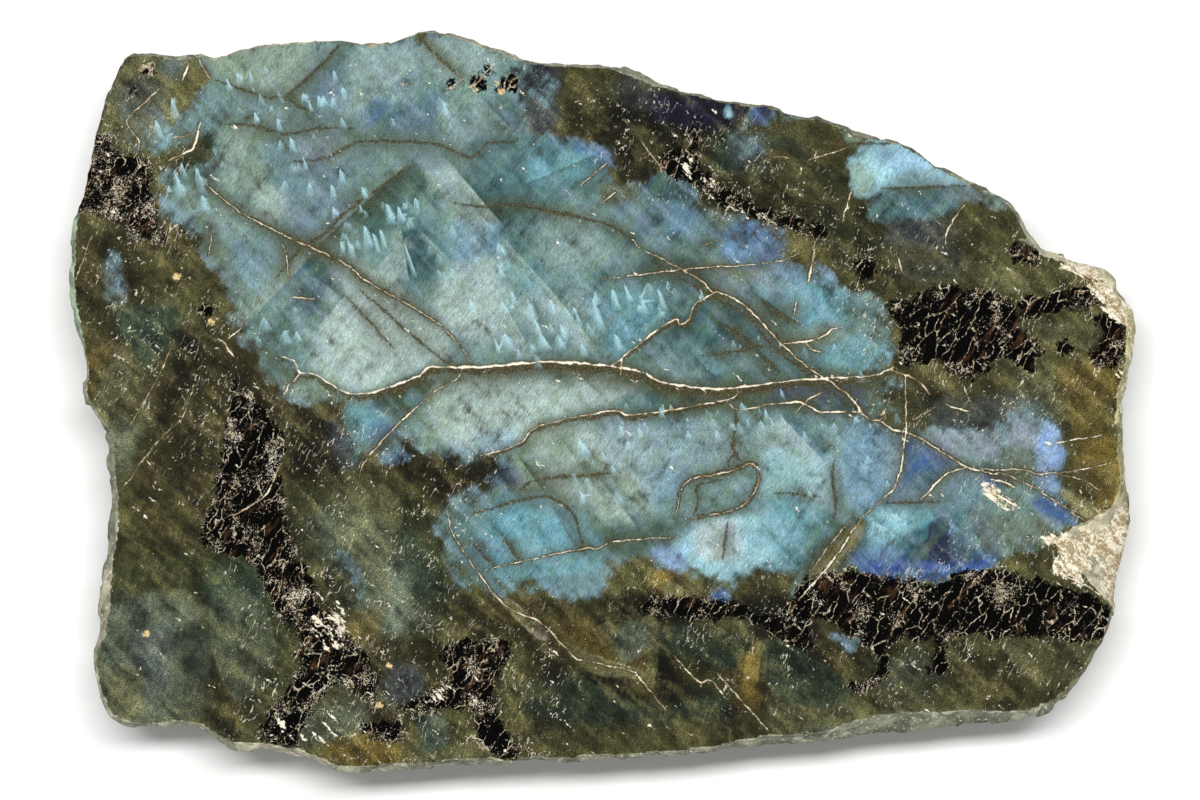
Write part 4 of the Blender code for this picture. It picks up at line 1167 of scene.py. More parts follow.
@dataclass
class Stone:
    """The whole stone: its polished face, broken wall and sawn back in one mesh.

    Attributes:
        sheet: Where the drawing lies.
        drawing: The markings.
        face_spacing: Between the points of the polished face, in plan units.
        back_spacing: Between the points of the sawn back, in plan units.
        edge_clearance: From the edge of either to its nearest inner point, in plan units.
        line_clearance: From a marking to the nearest point that isn't its own, in plan units.
        wall_cuts: How often each edge of the wall is cut.
        pit_depth: The depth of the plucked patches, in metres.
        pit_slope: The width of their sloping border, in plan units.
        pit_grain: How rough their floor is, in metres.
        groove_depth: How deep the veins lie, in metres.
        chip_size: The size of the chips along the polished edge, in plan units; not used.
        chip_depth: How deep they are, in metres.
        step_height: Between the cleavage steps of the wall, in metres.
        step_depth: How far one stands in front of the next, in metres.
        rough_depth: How rough the wall is, in metres.
        weld_gap: Points that are nearer than this are one, in metres.
        level_gap: How far from its height a point of a flat face may lie, in metres.
        sharp_angle: Faces that meet at more than this show a sharp edge.
        top: The height of the polished face, in metres.
    """

    sheet: Sheet
    drawing: Drawing
    face_spacing: float = 4.5
    back_spacing: float = 9.0
    edge_clearance: float = 1.6
    line_clearance: float = 2.6
    wall_cuts: int = 2
    pit_depth: float = 0.55 * MILLIMETRE
    pit_slope: float = 4.0
    pit_grain: float = 0.22 * MILLIMETRE
    groove_depth: float = 0.06 * MILLIMETRE
    chip_size: float = 7.0
    chip_depth: float = 0.30 * MILLIMETRE
    step_height: float = 1.3 * MILLIMETRE
    step_depth: float = 0.32 * MILLIMETRE
    rough_depth: float = 0.34 * MILLIMETRE
    weld_gap: float = 0.001 * MILLIMETRE
    level_gap: float = 0.01 * MILLIMETRE
    sharp_angle: float = math.radians(38)
    top: float = field(init=False, default=0.0)

    def build(self, node: bpy.types.Object) -> bpy.types.Object:
        """Makes the stone's mesh from its CAD node.

        Args:
            node: The CAD node, which stays as it is.

        Returns:
            The new piece.
        """
        piece = self._copied(node)
        self.top = max(vertex.co.z for vertex in piece.data.vertices)
        self._open(piece)
        self._refine_wall()
        shape = bmesh.new()
        shape.from_mesh(piece.data)
        broken = shape.verts.layers.float.new("broken")
        sawn = shape.verts.layers.float.new("sawn")
        for vertex in shape.verts:
            vertex[broken] = 1.0
        self._roughen(shape)
        self._fill_face(shape)
        for vertex in self._fill_back(shape):
            vertex[sawn] = 1.0
        bmesh.ops.recalc_face_normals(shape, faces=shape.faces)
        shape.to_mesh(piece.data)
        shape.free()
        self._mark(piece.data)
        piece.data.shade_smooth()
        bpy.ops.object.shade_smooth_by_angle(angle=self.sharp_angle)
        return piece

    def _copied(self, node: bpy.types.Object) -> bpy.types.Object:
        """A copy of the CAD node with its loose triangles merged."""
        bpy.ops.object.select_all(action="DESELECT")
        piece = bpy.data.objects.new("polished_labradorite", node.data.copy())
        bpy.context.scene.collection.objects.link(piece)
        piece.data.materials.clear()
        piece.select_set(True)
        bpy.context.view_layer.objects.active = piece
        bpy.ops.object.mode_set(mode="EDIT")
        bpy.ops.mesh.select_all(action="SELECT")
        bpy.ops.mesh.remove_doubles(threshold=self.weld_gap)
        bpy.ops.object.mode_set(mode="OBJECT")
        return piece

    def _open(self, piece: bpy.types.Object) -> None:
        """Takes the polished face, with its pits, and the sawn back off, and leaves the wall."""
        shape = bmesh.new()
        shape.from_mesh(piece.data)
        shape.normal_update()
        for height, facing in ((self.top, 1.0), (0.0, -1.0)):
            flat = {
                face
                for face in shape.faces
                if face.normal.z * facing > 0.999
                and all(abs(vertex.co.z - height) < self.level_gap for vertex in face.verts)
            }
            self._grow_to_edge(flat)
            bmesh.ops.delete(shape, geom=list(flat), context="FACES")
        shape.to_mesh(piece.data)
        shape.free()

    @staticmethod
    def _grow_to_edge(flat: set[bmesh.types.BMFace]) -> None:
        """Adds to a flat face the pits inside it: all that its outer edge encloses."""
        edges = (edge for face in flat for edge in face.edges)
        rims = [edge for edge in edges if any(side not in flat for side in edge.link_faces)]
        loops: list[set[bmesh.types.BMEdge]] = []
        loose = set(rims)
        while loose:
            loop, front = set(), [loose.pop()]
            while front:
                edge = front.pop()
                loop.add(edge)
                linked = {other for vertex in edge.verts for other in vertex.link_edges if other in loose}
                loose -= linked
                front += linked
            loops.append(loop)
        outer = max(loops, key=lambda loop: sum(edge.calc_length() for edge in loop))
        front = list(flat)
        while front:
            face = front.pop()
            for edge in face.edges:
                if edge in outer:
                    continue
                fresh = [side for side in edge.link_faces if side not in flat]
                flat.update(fresh)
                front += fresh

    def _refine_wall(self) -> None:
        """Cuts the active piece's triangles into small ones and eases their corners."""
        bpy.ops.object.mode_set(mode="EDIT")
        bpy.ops.mesh.select_all(action="SELECT")
        bpy.ops.mesh.subdivide(number_cuts=self.wall_cuts)
        bpy.ops.mesh.vertices_smooth(factor=0.5, repeat=2)
        bpy.ops.object.mode_set(mode="OBJECT")

    def _roughen(self, shape: bmesh.types.BMesh) -> None:
        """Breaks the smooth wall into cleavage steps, chips and grain."""
        shape.normal_update()
        highest = max(vertex.co.z for vertex in shape.verts)
        moves = []
        for vertex in shape.verts:
            at, out = vertex.co / MILLIMETRE, vertex.normal
            patchy = 0.5 + 0.5 * noise.noise(at / 11)
            layer = at.z / (self.step_height / MILLIMETRE) + 0.22 * at.x + 1.6 * noise.noise(at / 9)
            step = (layer - math.floor(layer) - 0.5) * patchy * self.step_depth
            rough = noise.fractal(at / 3.2, 0.9, 2.1, 4) * self.rough_depth
            _, sites = noise.voronoi(at / 3.4)
            flake = (noise.cell(sites[0] * 9.0) - 0.5) * self.chip_depth
            moves.append(out * (step + rough * 0.7 + flake))
        for vertex, move in zip(shape.verts, moves):
            if vertex.is_boundary:
                move.z = 0
                vertex.co.z = self.top if vertex.co.z > highest / 2 else 0.0
                move *= 0.6
            vertex.co += move

    @staticmethod
    def _ring(shape: bmesh.types.BMesh, high: bool) -> list[bmesh.types.BMVert]:
        """The open edge of the wall, in order: the upper one, or the lower one."""
        middle = max(vertex.co.z for vertex in shape.verts) / 2
        on_edge = (edge for edge in shape.edges if edge.is_boundary)
        first, *others = (edge for edge in on_edge if (edge.verts[0].co.z > middle) == high)
        edges = set(others)
        ring = [first.verts[0], first.verts[1]]
        while True:
            onward = next((edge for edge in ring[-1].link_edges if edge in edges), None)
            if onward is None:
                return ring[:-1] if ring[-1] is ring[0] else ring
            edges.remove(onward)
            ring.append(onward.other_vert(ring[-1]))

    def _grid(self, loop: np.ndarray, spacing: float) -> np.ndarray:
        """Points in a triangular grid inside a loop, each a little off its place."""
        low, high = loop.min(0), loop.max(0)
        across = np.arange(low[0], high[0], spacing)
        down = np.arange(low[1], high[1], spacing * math.sqrt(3) / 2)
        x, y = np.meshgrid(across, down)
        x[1::2] += spacing / 2
        points = np.stack([x.ravel(), y.ravel()], 1)
        return points[is_inside(points, loop)]

    def _fill(
        self,
        shape: bmesh.types.BMesh,
        ring: list[bmesh.types.BMVert],
        points: np.ndarray,
        lines: Sequence[np.ndarray],
    ) -> list[bmesh.types.BMVert]:
        """Fills a ring with triangles whose edges follow lines.

        Args:
            shape: The mesh, which has the ring.
            ring: Its vertices in order.
            points: Points inside it, in plan units.
            lines: Lines that edges have to follow, in plan units.

        Returns:
            The new vertices, at height 0.
        """
        loop = self.sheet.from_stone(np.array([vertex.co for vertex in ring]))
        count = len(ring)
        corners, edges = [loop], []
        for line in lines:
            kept = self._is_clear(line, loop)
            inner = np.flatnonzero(kept[:-1] & kept[1:])
            edges += [(count + i, count + i + 1) for i in inner]
            corners.append(np.where(kept[:, None], line, line[kept][:1] if kept.any() else loop.mean(0)))
            count += len(line)
        corners.append(points[self._is_clear(points, loop)])
        flat = [Vector(corner) for corner in np.concatenate(corners)]
        places, _, faces, origins, _, _ = delaunay_2d_cdt(flat, edges, [list(range(len(ring)))], 1, 1e-4)
        on_stone = self.sheet.to_stone(np.array(places))
        made: list[bmesh.types.BMVert] = []
        verts = []
        for place, origin in zip(on_stone, origins):
            known = [i for i in origin if i < len(ring)]
            if known:
                verts.append(ring[known[0]])
            else:
                verts.append(shape.verts.new((place[0], place[1], 0.0)))
                made.append(verts[-1])
        for corner_ids in faces:
            if len(set(corner_ids)) == 3:
                shape.faces.new([verts[i] for i in corner_ids])
        for vertex in made:
            if not vertex.link_faces:
                shape.verts.remove(vertex)
        return [vertex for vertex in made if vertex.is_valid]

    def _is_clear(self, points: np.ndarray, loop: np.ndarray) -> np.ndarray:
        """Whether points lie inside a loop and clear of it."""
        return depth_in(points, loop) > self.edge_clearance

    def _cell(self, point: np.ndarray) -> tuple[int, int]:
        """The cell of a square grid that a point lies in."""
        return round(point[0] / self.line_clearance), round(point[1] / self.line_clearance)

    def _fill_face(self, shape: bmesh.types.BMesh) -> None:
        """Makes the polished face, its grooves and its plucked pits."""
        ring = self._ring(shape, high=True)
        loop = self.sheet.from_stone(np.array([vertex.co for vertex in ring]))
        lines, rows = self.drawing.constraint_lines(), self.drawing.side_rows()
        taken = {self._cell(point) for point in np.concatenate([*lines, rows])}
        grid = self._grid(loop, self.face_spacing)
        grid = np.array([point for point in grid if self._cell(point) not in taken])
        made = self._fill(shape, ring, np.concatenate([grid, rows]), lines)
        points = self.sheet.from_stone(np.array([vertex.co for vertex in made]))
        edge = ring_of(loop)
        clear = eased(gap_to(points, edge)[0], 0.0, 6.0)
        pits = eased(self.drawing.dark_depth(points), 0.0, self.pit_slope) * clear
        floor = self.pit_depth * (0.75 + 0.5 * noise_at(points, 30.0))
        floor += self.pit_grain * noise_at(points, 7.0)
        veins = eased(-self.drawing.line_values(points)["vein_gap"], -1.5, 0.8) * clear
        heights = self.top - np.maximum(floor, 0) * pits - self.groove_depth * veins
        for vertex, height in zip(made, heights):
            vertex.co.z = height

    def _fill_back(self, shape: bmesh.types.BMesh) -> list[bmesh.types.BMVert]:
        """Makes the flat sawn back, and gives its new vertices."""
        ring = self._ring(shape, high=False)
        loop = self.sheet.from_stone(np.array([vertex.co for vertex in ring]))
        return self._fill(shape, ring, self._grid(loop, self.back_spacing), [])

    def _mark(self, mesh: bpy.types.Mesh) -> None:
        """Stores at each vertex what the material reads there."""
        points = self.sheet.from_stone(np.array([vertex.co for vertex in mesh.vertices]))
        values = self.drawing.line_values(points) | {
            "dark_depth": self.drawing.dark_depth(points),
            "tooth": self.drawing.tooth_glow(points),
            "grain_depth": self.drawing.grain_depth(points),
            "fleck": self.drawing.painted(points, FLECKED, Tint.OLIVE.value)[:, 3],
            "chalk": self.drawing.painted(points, CHALKY, Tint.OLIVE.value)[:, 3],
        }
        for name, numbers in values.items():
            attribute = mesh.attributes.new(name, "FLOAT", "POINT")
            attribute.data.foreach_set("value", numbers.astype(np.float32))
        colours = {
            "ground": self.drawing.painted(points, MATRIX_PATCHES, Tint.OLIVE.value),
            "flash": self.drawing.sheen(
                points, self.drawing.painted(points, FLASH_PATCHES + STRAY_FLASHES, Tint.STEEL.value)
            ),
            "rind": self.drawing.painted(points, RIM_PATCHES, Tint.RIND.value),
        }
        for name, rows in colours.items():
            attribute = mesh.attributes.new(name, "FLOAT_COLOR", "POINT")
            attribute.data.foreach_set("color", rows.astype(np.float32).ravel())


# ---- Materials.


@dataclass(frozen=True)
class Signal:
    """A number that flows out of one node of a material, which arithmetic adds nodes to.

    Attributes:
        maker: The material's node maker.
        socket: The socket that it comes from.
    """

    maker: Nodes
    socket: bpy.types.NodeSocket

    def _math(self, operation: str, *values: Signal | float) -> Signal:
        """A Math node's result."""
        inputs = dict(enumerate(values))
        made = self.maker.add("ShaderNodeMath", {"operation": operation}, inputs)
        return Signal(self.maker, made.outputs[0])

    def __add__(self, other: Signal | float) -> Signal:
        """Adds."""
        return self._math("ADD", self, other)

    def __radd__(self, other: float) -> Signal:
        """Adds to a plain number."""
        return self._math("ADD", other, self)

    def __sub__(self, other: Signal | float) -> Signal:
        """Subtracts."""
        return self._math("SUBTRACT", self, other)

    def __rsub__(self, other: float) -> Signal:
        """Subtracts from a plain number."""
        return self._math("SUBTRACT", other, self)

    def __mul__(self, other: Signal | float) -> Signal:
        """Multiplies."""
        return self._math("MULTIPLY", self, other)

    def __pow__(self, other: float) -> Signal:
        """Raises to a power."""
        return self._math("POWER", self, other)

    def highest(self, other: Signal | float) -> Signal:
        """The higher of two."""
        return self._math("MAXIMUM", self, other)

    def lowest(self, other: Signal | float) -> Signal:
        """The lower of two."""
        return self._math("MINIMUM", self, other)

    def size(self) -> Signal:
        """The number without its sign."""
        return self._math("ABSOLUTE", self)

    def ramp(self, low: float, high: float, bottom: float = 0.0, top: float = 1.0) -> Signal:
        """A smooth rise from bottom at low to top at high, and level beyond."""
        inputs = {0: self, 1: low, 2: high, 3: bottom, 4: top}
        made = self.maker.add("ShaderNodeMapRange", {"interpolation_type": "SMOOTHSTEP"}, inputs)
        return Signal(self.maker, made.outputs[0])


class Nodes:
    """A maker of one material's nodes."""

    WAVE = 2.4 * MILLIMETRE  # the size of the waves that bend a pattern

    def __init__(self, name: str) -> None:
        """Starts an empty material of this name."""
        self.material = bpy.data.materials.new(name)
        self.material.use_nodes = True
        self.tree = self.material.node_tree
        self.tree.nodes.clear()
        self.here = self.add("ShaderNodeTexCoord").outputs["Object"]
        inputs = {"Vector": self.here, "Scale": 1 / self.WAVE, "Detail": 2.0}
        waves = self.add("ShaderNodeTexNoise", {}, inputs)
        middled = self.add("ShaderNodeVectorMath", {"operation": "SUBTRACT"},
                           {0: waves.outputs["Color"], 1: (0.5, 0.5, 0.5)})
        self.waves = middled.outputs[0]

    def add(self, kind: str, settings: dict | None = None, inputs: dict | None = None) -> bpy.types.Node:
        """Adds a node.

        Args:
            kind: Its type.
            settings: Its properties by name.
            inputs: What goes into its inputs, by their name or number: a signal, a socket or a value.

        Returns:
            The node.
        """
        made = self.tree.nodes.new(kind)
        for name, value in (settings or {}).items():
            setattr(made, name, value)
        for key, value in (inputs or {}).items():
            socket = value.socket if isinstance(value, Signal) else value
            if isinstance(socket, bpy.types.NodeSocket):
                self.tree.links.new(socket, made.inputs[key])
            else:
                made.inputs[key].default_value = socket
        return made

    def attribute(self, name: str) -> Signal:
        """A number that the mesh stores at its points."""
        return Signal(self, self.add("ShaderNodeAttribute", {"attribute_name": name}).outputs["Fac"])

    def painted(self, name: str) -> tuple[bpy.types.NodeSocket, Signal]:
        """A colour that the mesh stores at its points, and how much of it is laid on."""
        made = self.add("ShaderNodeAttribute", {"attribute_name": name})
        return made.outputs["Color"], Signal(self, made.outputs["Alpha"])

    def place(
        self, turn: float = 0.0, stretch: tuple[float, float, float] = (1, 1, 1), bend: float = 0.0
    ) -> bpy.types.NodeSocket:
        """The stone's own coordinates in millimetres, bent, turned about the upright axis and stretched.

        Args:
            turn: The turn, in degrees.
            stretch: The stretch along each axis: a pattern read there gets longer along it.
            bend: How far waves bend the pattern, in millimetres.

        Returns:
            The coordinates.
        """
        here = self.here
        if bend:
            bent = self.add("ShaderNodeVectorMath", {"operation": "MULTIPLY_ADD"},
                            {0: self.waves, 1: (2 * bend * MILLIMETRE,) * 3, 2: here})
            here = bent.outputs[0]
        inputs = {"Vector": here, "Rotation": (0, 0, math.radians(-turn))}
        turned = self.add("ShaderNodeMapping", {"vector_type": "POINT"}, inputs)
        inputs = {0: turned.outputs[0], 1: tuple(1 / (MILLIMETRE * share) for share in stretch)}
        return self.add("ShaderNodeVectorMath", {"operation": "MULTIPLY"}, inputs).outputs[0]

    def noise(self, place: bpy.types.NodeSocket, size: float, detail: float, roughness: float) -> Signal:
        """Smooth noise from 0 to 1, with its largest waves of one size."""
        inputs = {"Vector": place, "Scale": 1 / size, "Detail": detail, "Roughness": roughness}
        return Signal(self, self.add("ShaderNodeTexNoise", {}, inputs).outputs["Fac"])

    def cells(self, place: bpy.types.NodeSocket, size: float) -> tuple[Signal, Signal]:
        """Cells of one size: the distance from each one's middle, and a random number for each."""
        made = self.add("ShaderNodeTexVoronoi", {}, {"Vector": place, "Scale": 1 / size})
        split = self.add("ShaderNodeSeparateColor", {}, {0: made.outputs["Color"]})
        return Signal(self, made.outputs["Distance"]), Signal(self, split.outputs[0])

    def cell_edges(self, place: bpy.types.NodeSocket, size: float) -> Signal:
        """The distance from the edges between cells, as a share of their size."""
        settings = {"feature": "DISTANCE_TO_EDGE"}
        made = self.add("ShaderNodeTexVoronoi", settings, {"Vector": place, "Scale": 1 / size})
        return Signal(self, made.outputs["Distance"])

    def mixed(
        self,
        share: Signal | float,
        under: bpy.types.NodeSocket | Colour,
        over: bpy.types.NodeSocket | Colour,
    ) -> bpy.types.NodeSocket:
        """A colour laid over another.

        Args:
            share: How much of it is laid on.
            under: The colour under it.
            over: The colour that is laid on.

        Returns:
            The mixed colour.
        """
        full = [(*value, 1.0) if isinstance(value, tuple) else value for value in (under, over)]
        settings = {"data_type": "RGBA", "blend_type": "MIX", "clamp_factor": True}
        return self.add("ShaderNodeMix", settings, {0: share, 6: full[0], 7: full[1]}).outputs[2]

    def scaled(self, colour: bpy.types.NodeSocket, by: Signal | float) -> bpy.types.NodeSocket:
        """A colour made brighter or darker."""
        return self.add("ShaderNodeVectorMath", {"operation": "SCALE"}, {0: colour, "Scale": by}).outputs[0]

    def finish(
        self,
        colour: bpy.types.NodeSocket,
        roughness: Signal | float,
        height: Signal,
        relief: float,
        **others: Signal | float,
    ) -> bpy.types.Material:
        """Ends the material with its surface.

        Args:
            colour: The base colour.
            roughness: The roughness.
            height: The height of its small relief, from 0 to 1.
            relief: How high 1 stands, in metres.
            others: Other sockets of the surface, by name with underscores.

        Returns:
            The material.
        """
        bump = self.add("ShaderNodeBump", {}, {"Height": height, "Distance": relief, "Strength": 1.0})
        inputs = {"Base Color": colour, "Roughness": roughness, "Normal": bump.outputs[0]}
        inputs |= {name.replace("_", " "): value for name, value in others.items()}
        surface = self.add("ShaderNodeBsdfPrincipled", {}, inputs)
        self.add("ShaderNodeOutputMaterial", {}, {"Surface": surface.outputs[0]})
        return self.material


@dataclass(frozen=True)
class Feldspar:
    """The stone's finish.

    Attributes:
        cream: The pale mineral in its veins and flecks.
        tan: The same where it is stained.
        soot: The darkest mineral in the dark patches.
        rust: Its brown ridges.
        honey: The clear feldspar where light comes through it.
        stain: The feldspar beside a healed crack.
        crack: The middle of a healed crack.
        grain_gold: The gold-coloured grains.
        tooth: The brightest flash.
        flank: The broken wall.
        flank_dark: Its dark faces.
        saw: The sawn back.
        polish: The roughness of the polished face.
        chalk: The roughness of the broken wall.
    """

    cream: Colour = srgb(236, 230, 208)
    tan: Colour = srgb(156, 134, 98)
    soot: Colour = srgb(7, 7, 6)
    rust: Colour = srgb(84, 60, 44)
    honey: Colour = srgb(132, 124, 80)
    stain: Colour = srgb(62, 60, 34)
    crack: Colour = srgb(56, 53, 34)
    grain_gold: Colour = srgb(214, 188, 132)
    tooth: Colour = srgb(176, 218, 228)
    flank: Colour = srgb(112, 114, 92)
    flank_dark: Colour = srgb(62, 64, 50)
    saw: Colour = srgb(96, 98, 84)
    polish: float = 0.14
    chalk: float = 0.62

    def material(self) -> bpy.types.Material:
        """Makes the material."""
        nodes = Nodes("labradorite")
        place = nodes.place(bend=0.6)
        mottle = nodes.noise(place, 2.3, 4.0, 0.62)
        speck = nodes.noise(nodes.place(), 0.17, 1.0, 0.6)
        brush = nodes.noise(nodes.place(66, (2.6, 0.5, 1.0)), 0.38, 1.0, 0.6)
        colour = self._ground(nodes, mottle, speck, brush)
        colour = self._flash(nodes, colour, mottle, speck, brush)
        colour = self._lines(nodes, colour, mottle, speck)
        marked, dark = self._inclusions(nodes, colour, mottle, speck, brush)
        height = nodes.add("ShaderNodeSeparateXYZ", {}, {0: nodes.place()})
        brim = Signal(nodes, height.outputs[2]).ramp(22.6, 23.4)
        broken = nodes.attribute("broken") * (1 - nodes.attribute("dark_depth").ramp(-3.0, 2.0) * brim)
        sawn = nodes.attribute("sawn")
        rugged = (broken + (mottle - 0.5) * 0.8).ramp(0.45, 0.75)
        colour = nodes.mixed(rugged, marked, self._wall(nodes, mottle))
        colour = nodes.mixed(sawn.ramp(0.3, 0.7), colour, self._sawn_back(nodes, mottle))
        crumbs = nodes.noise(place, 0.55, 3.0, 0.7)
        flakes = nodes.noise(nodes.place(-38, (2.8, 0.9, 1.0), 0.6), 1.1, 3.0, 0.65)
        shown = (nodes.attribute("chalk") * 1.2 + (flakes - 0.5) * 2.6 + (crumbs - 0.5)).ramp(0.50, 0.66)
        clean = (flakes + (crumbs - 0.5) * 0.9 + (speck - 0.5) * 0.5).ramp(0.42, 0.62)
        chalk = nodes.mixed(clean, self.tan, self.cream)
        colour = nodes.mixed(shown * 0.9, colour, chalk)
        rough = (self.polish + dark * 0.40 + shown * 0.4).highest(broken * self.chalk)
        rough = rough.highest(sawn * self.chalk)
        pitted = nodes.attribute("dark_depth").ramp(-2.0, 3.0)
        relief = 0.012 + pitted * 0.8 + nodes.attribute("chalk") * 0.6
        relief = relief.highest(nodes.attribute("broken")).lowest(1.0)
        gloss = (1 - dark - shown - broken - sawn).highest(0.0) * 0.28
        grain = nodes.noise(nodes.place(), 0.5, 2.0, 0.75)
        return nodes.finish(colour, rough, grain * relief, 0.22 * MILLIMETRE,
                            Coat_Weight=gloss, Coat_Roughness=0.05, Specular_IOR_Level=0.10)

    def _ground(self, nodes: Nodes, mottle: Signal, speck: Signal, brush: Signal) -> bpy.types.NodeSocket:
        """The feldspar where it doesn't flash: mottled, grainy and crossed by fine fibres."""
        painted, _ = nodes.painted("ground")
        clouds = nodes.noise(nodes.place(), 8.0, 2.0, 0.6)
        fibres = nodes.noise(nodes.place(72, (4.0, 0.6, 1.0), 0.4), 0.8, 2.0, 0.6)
        wedges = nodes.noise(nodes.place(-44, (5.0, 0.9, 1.0), 0.9), 2.1, 3.0, 0.55)
        level = 0.16 + mottle.ramp(0.26, 0.76) * 0.62 + wedges.ramp(0.38, 0.66) * 0.50
        level = level * (0.56 + clouds.ramp(0.3, 0.7) * 0.36)
        level = level * (1 + (fibres - 0.5) * 0.9 + (brush - 0.5) * 0.9) * (speck * 2) ** 1.9
        warm = nodes.mixed((wedges * 0.7 + mottle * 0.4 + (fibres - 0.5) * 0.2).ramp(0.54, 0.74) * 0.34,
                           painted, self.honey)
        return nodes.scaled(warm, level)

    def _flash(
        self, nodes: Nodes, ground: bpy.types.NodeSocket, mottle: Signal, speck: Signal, brush: Signal
    ) -> bpy.types.NodeSocket:
        """The flash over the ground: fine brushing, twin bands and frayed edges."""
        painted, cover = nodes.painted("flash")
        bands = nodes.noise(nodes.place(-46, (9.0, 0.8, 1.0), 0.8), 2.0, 2.0, 0.5)
        cross = nodes.noise(nodes.place(52, (7.0, 0.8, 1.0), 0.8), 2.2, 2.0, 0.5)
        fingers = (bands - 0.5) * 1.3 + (cross - 0.5) * 1.3 + (mottle - 0.5) * 0.6
        shown = (cover + (fingers + (brush - 0.5) * 0.5) * cover.ramp(0.0, 0.3)).ramp(0.08, 0.92)
        level = 0.70 + (mottle - 0.5) * 1.2 + (bands - 0.5) * 0.6 + (cross - 0.5) * 0.6
        level = level * (1 + (speck - 0.5) * 1.4 + (brush - 0.5) * 1.2)
        colour = nodes.mixed(cross.ramp(0.44, 0.70) * 0.44, painted, srgb(104, 128, 92))
        colour = nodes.mixed(bands.ramp(0.46, 0.68) * 0.28, colour, srgb(140, 154, 182))
        return nodes.mixed(shown, ground, nodes.scaled(colour, level.highest(0.05)))

    def _lines(
        self, nodes: Nodes, under: bpy.types.NodeSocket, mottle: Signal, speck: Signal
    ) -> bpy.types.NodeSocket:
        """The healed cracks: their stain, which under the long vein is partly a painted shade, their dark
        crumbly middle and fine hairlines everywhere.
        """
        stain = (nodes.attribute("stain") * (0.25 + mottle * 1.5)).lowest(1.0)
        colour = nodes.mixed(stain * 0.9, under, nodes.scaled(self.stain, (speck * 2) ** 2.0))
        for turn, size in ((-42, 3.4), (48, 4.2)):
            edges = nodes.cell_edges(nodes.place(turn, (7.0, 1.0, 1.0), 0.25), size)
            hair = edges.ramp(0.004, 0.020, 0.25, 0.0) * mottle.ramp(0.46, 0.66)
            colour = nodes.mixed(hair, colour, self.stain)
        crumb = nodes.noise(nodes.place(), 0.34, 2.0, 0.75)
        core = nodes.attribute("core_gap") + (crumb - 0.5) * 4.5
        dirt = nodes.mixed((speck + (crumb - 0.5) * 0.8).ramp(0.60, 0.74) * 0.6, self.crack, self.tan)
        return nodes.mixed(core.ramp(-1.1, 1.1, 0.85, 0.0), colour, dirt)

    def _inclusions(
        self, nodes: Nodes, under: bpy.types.NodeSocket, mottle: Signal, speck: Signal, brush: Signal
    ) -> tuple[bpy.types.NodeSocket, Signal]:
        """Teeth, dark patches, flecks, veins and grains over the face, and where it is dark."""
        here = nodes.place()
        fray = nodes.noise(here, 0.45, 2.0, 0.65) - 0.5
        colour = nodes.mixed(nodes.attribute("tooth") * (0.75 + (speck - 0.5) * 1.4), under, self.tooth)
        depth = nodes.attribute("dark_depth")
        dark = (depth + (mottle - 0.5) * 26 + fray * 16).ramp(-1.5, 2.0)
        colour = nodes.mixed(dark, colour, self._dark(nodes, mottle, speck, brush, fray))
        near = depth.ramp(-20.0, 4.0, 0.0, 0.75).highest(nodes.attribute("fleck")) * (1 - dark)
        spots, chance = nodes.cells(nodes.place(bend=0.8), 0.5)
        thick = nodes.noise(here, 3.6, 2.0, 0.6).ramp(0.42, 0.62, -0.12, 0.10)
        dots = (spots - (chance - 1 + near * 0.13 + thick).highest(0.0) * 1.3).ramp(0.0, 0.12, 1.0, 0.0)
        wander = nodes.noise(nodes.place(64, (2.6, 0.8, 1.0), 0.7), 0.9, 1.0, 0.5) - 0.5
        gaps = nodes.noise(nodes.place(66, (1.8, 0.8, 1.0)), 0.6, 1.0, 0.6) - 0.5
        worms = wander.size().ramp(0.004, 0.022, 1.0, 0.0) * (gaps + near * 0.14 + thick).ramp(0.12, 0.20)
        flecks = dots.highest(worms) * near.ramp(0.02, 0.12)
        cream = nodes.mixed(fray.ramp(-0.22, -0.06), self.tan, self.cream)
        colour = nodes.mixed(flecks * (mottle * 1.2 - 0.05), colour, cream)
        whole = (fray * 1.2 + (mottle - 0.5) * 1.6).ramp(-0.50, -0.22, 0.40, 0.95)
        vein = (nodes.attribute("vein_gap") + fray * 2.8 + 0.12).ramp(-0.40, 0.40, 1.0, 0.0) * whole
        rich = nodes.attribute("vein_gap").ramp(-1.2, -0.2, 0.3, 0.0)
        fresh = (fray * 0.8 + (mottle - 0.5) * 1.3 + rich).ramp(-0.16, 0.14)
        colour = nodes.mixed(vein, colour, nodes.mixed(fresh, self.tan, self.cream))
        grain = (nodes.attribute("grain_depth") + fray * 7).ramp(-0.5, 1.5)
        gold = nodes.scaled(nodes.mixed(fray.ramp(-0.15, 0.1), self.tan, self.grain_gold), speck * 2)
        return nodes.mixed(grain, colour, gold), dark * (1 - grain)

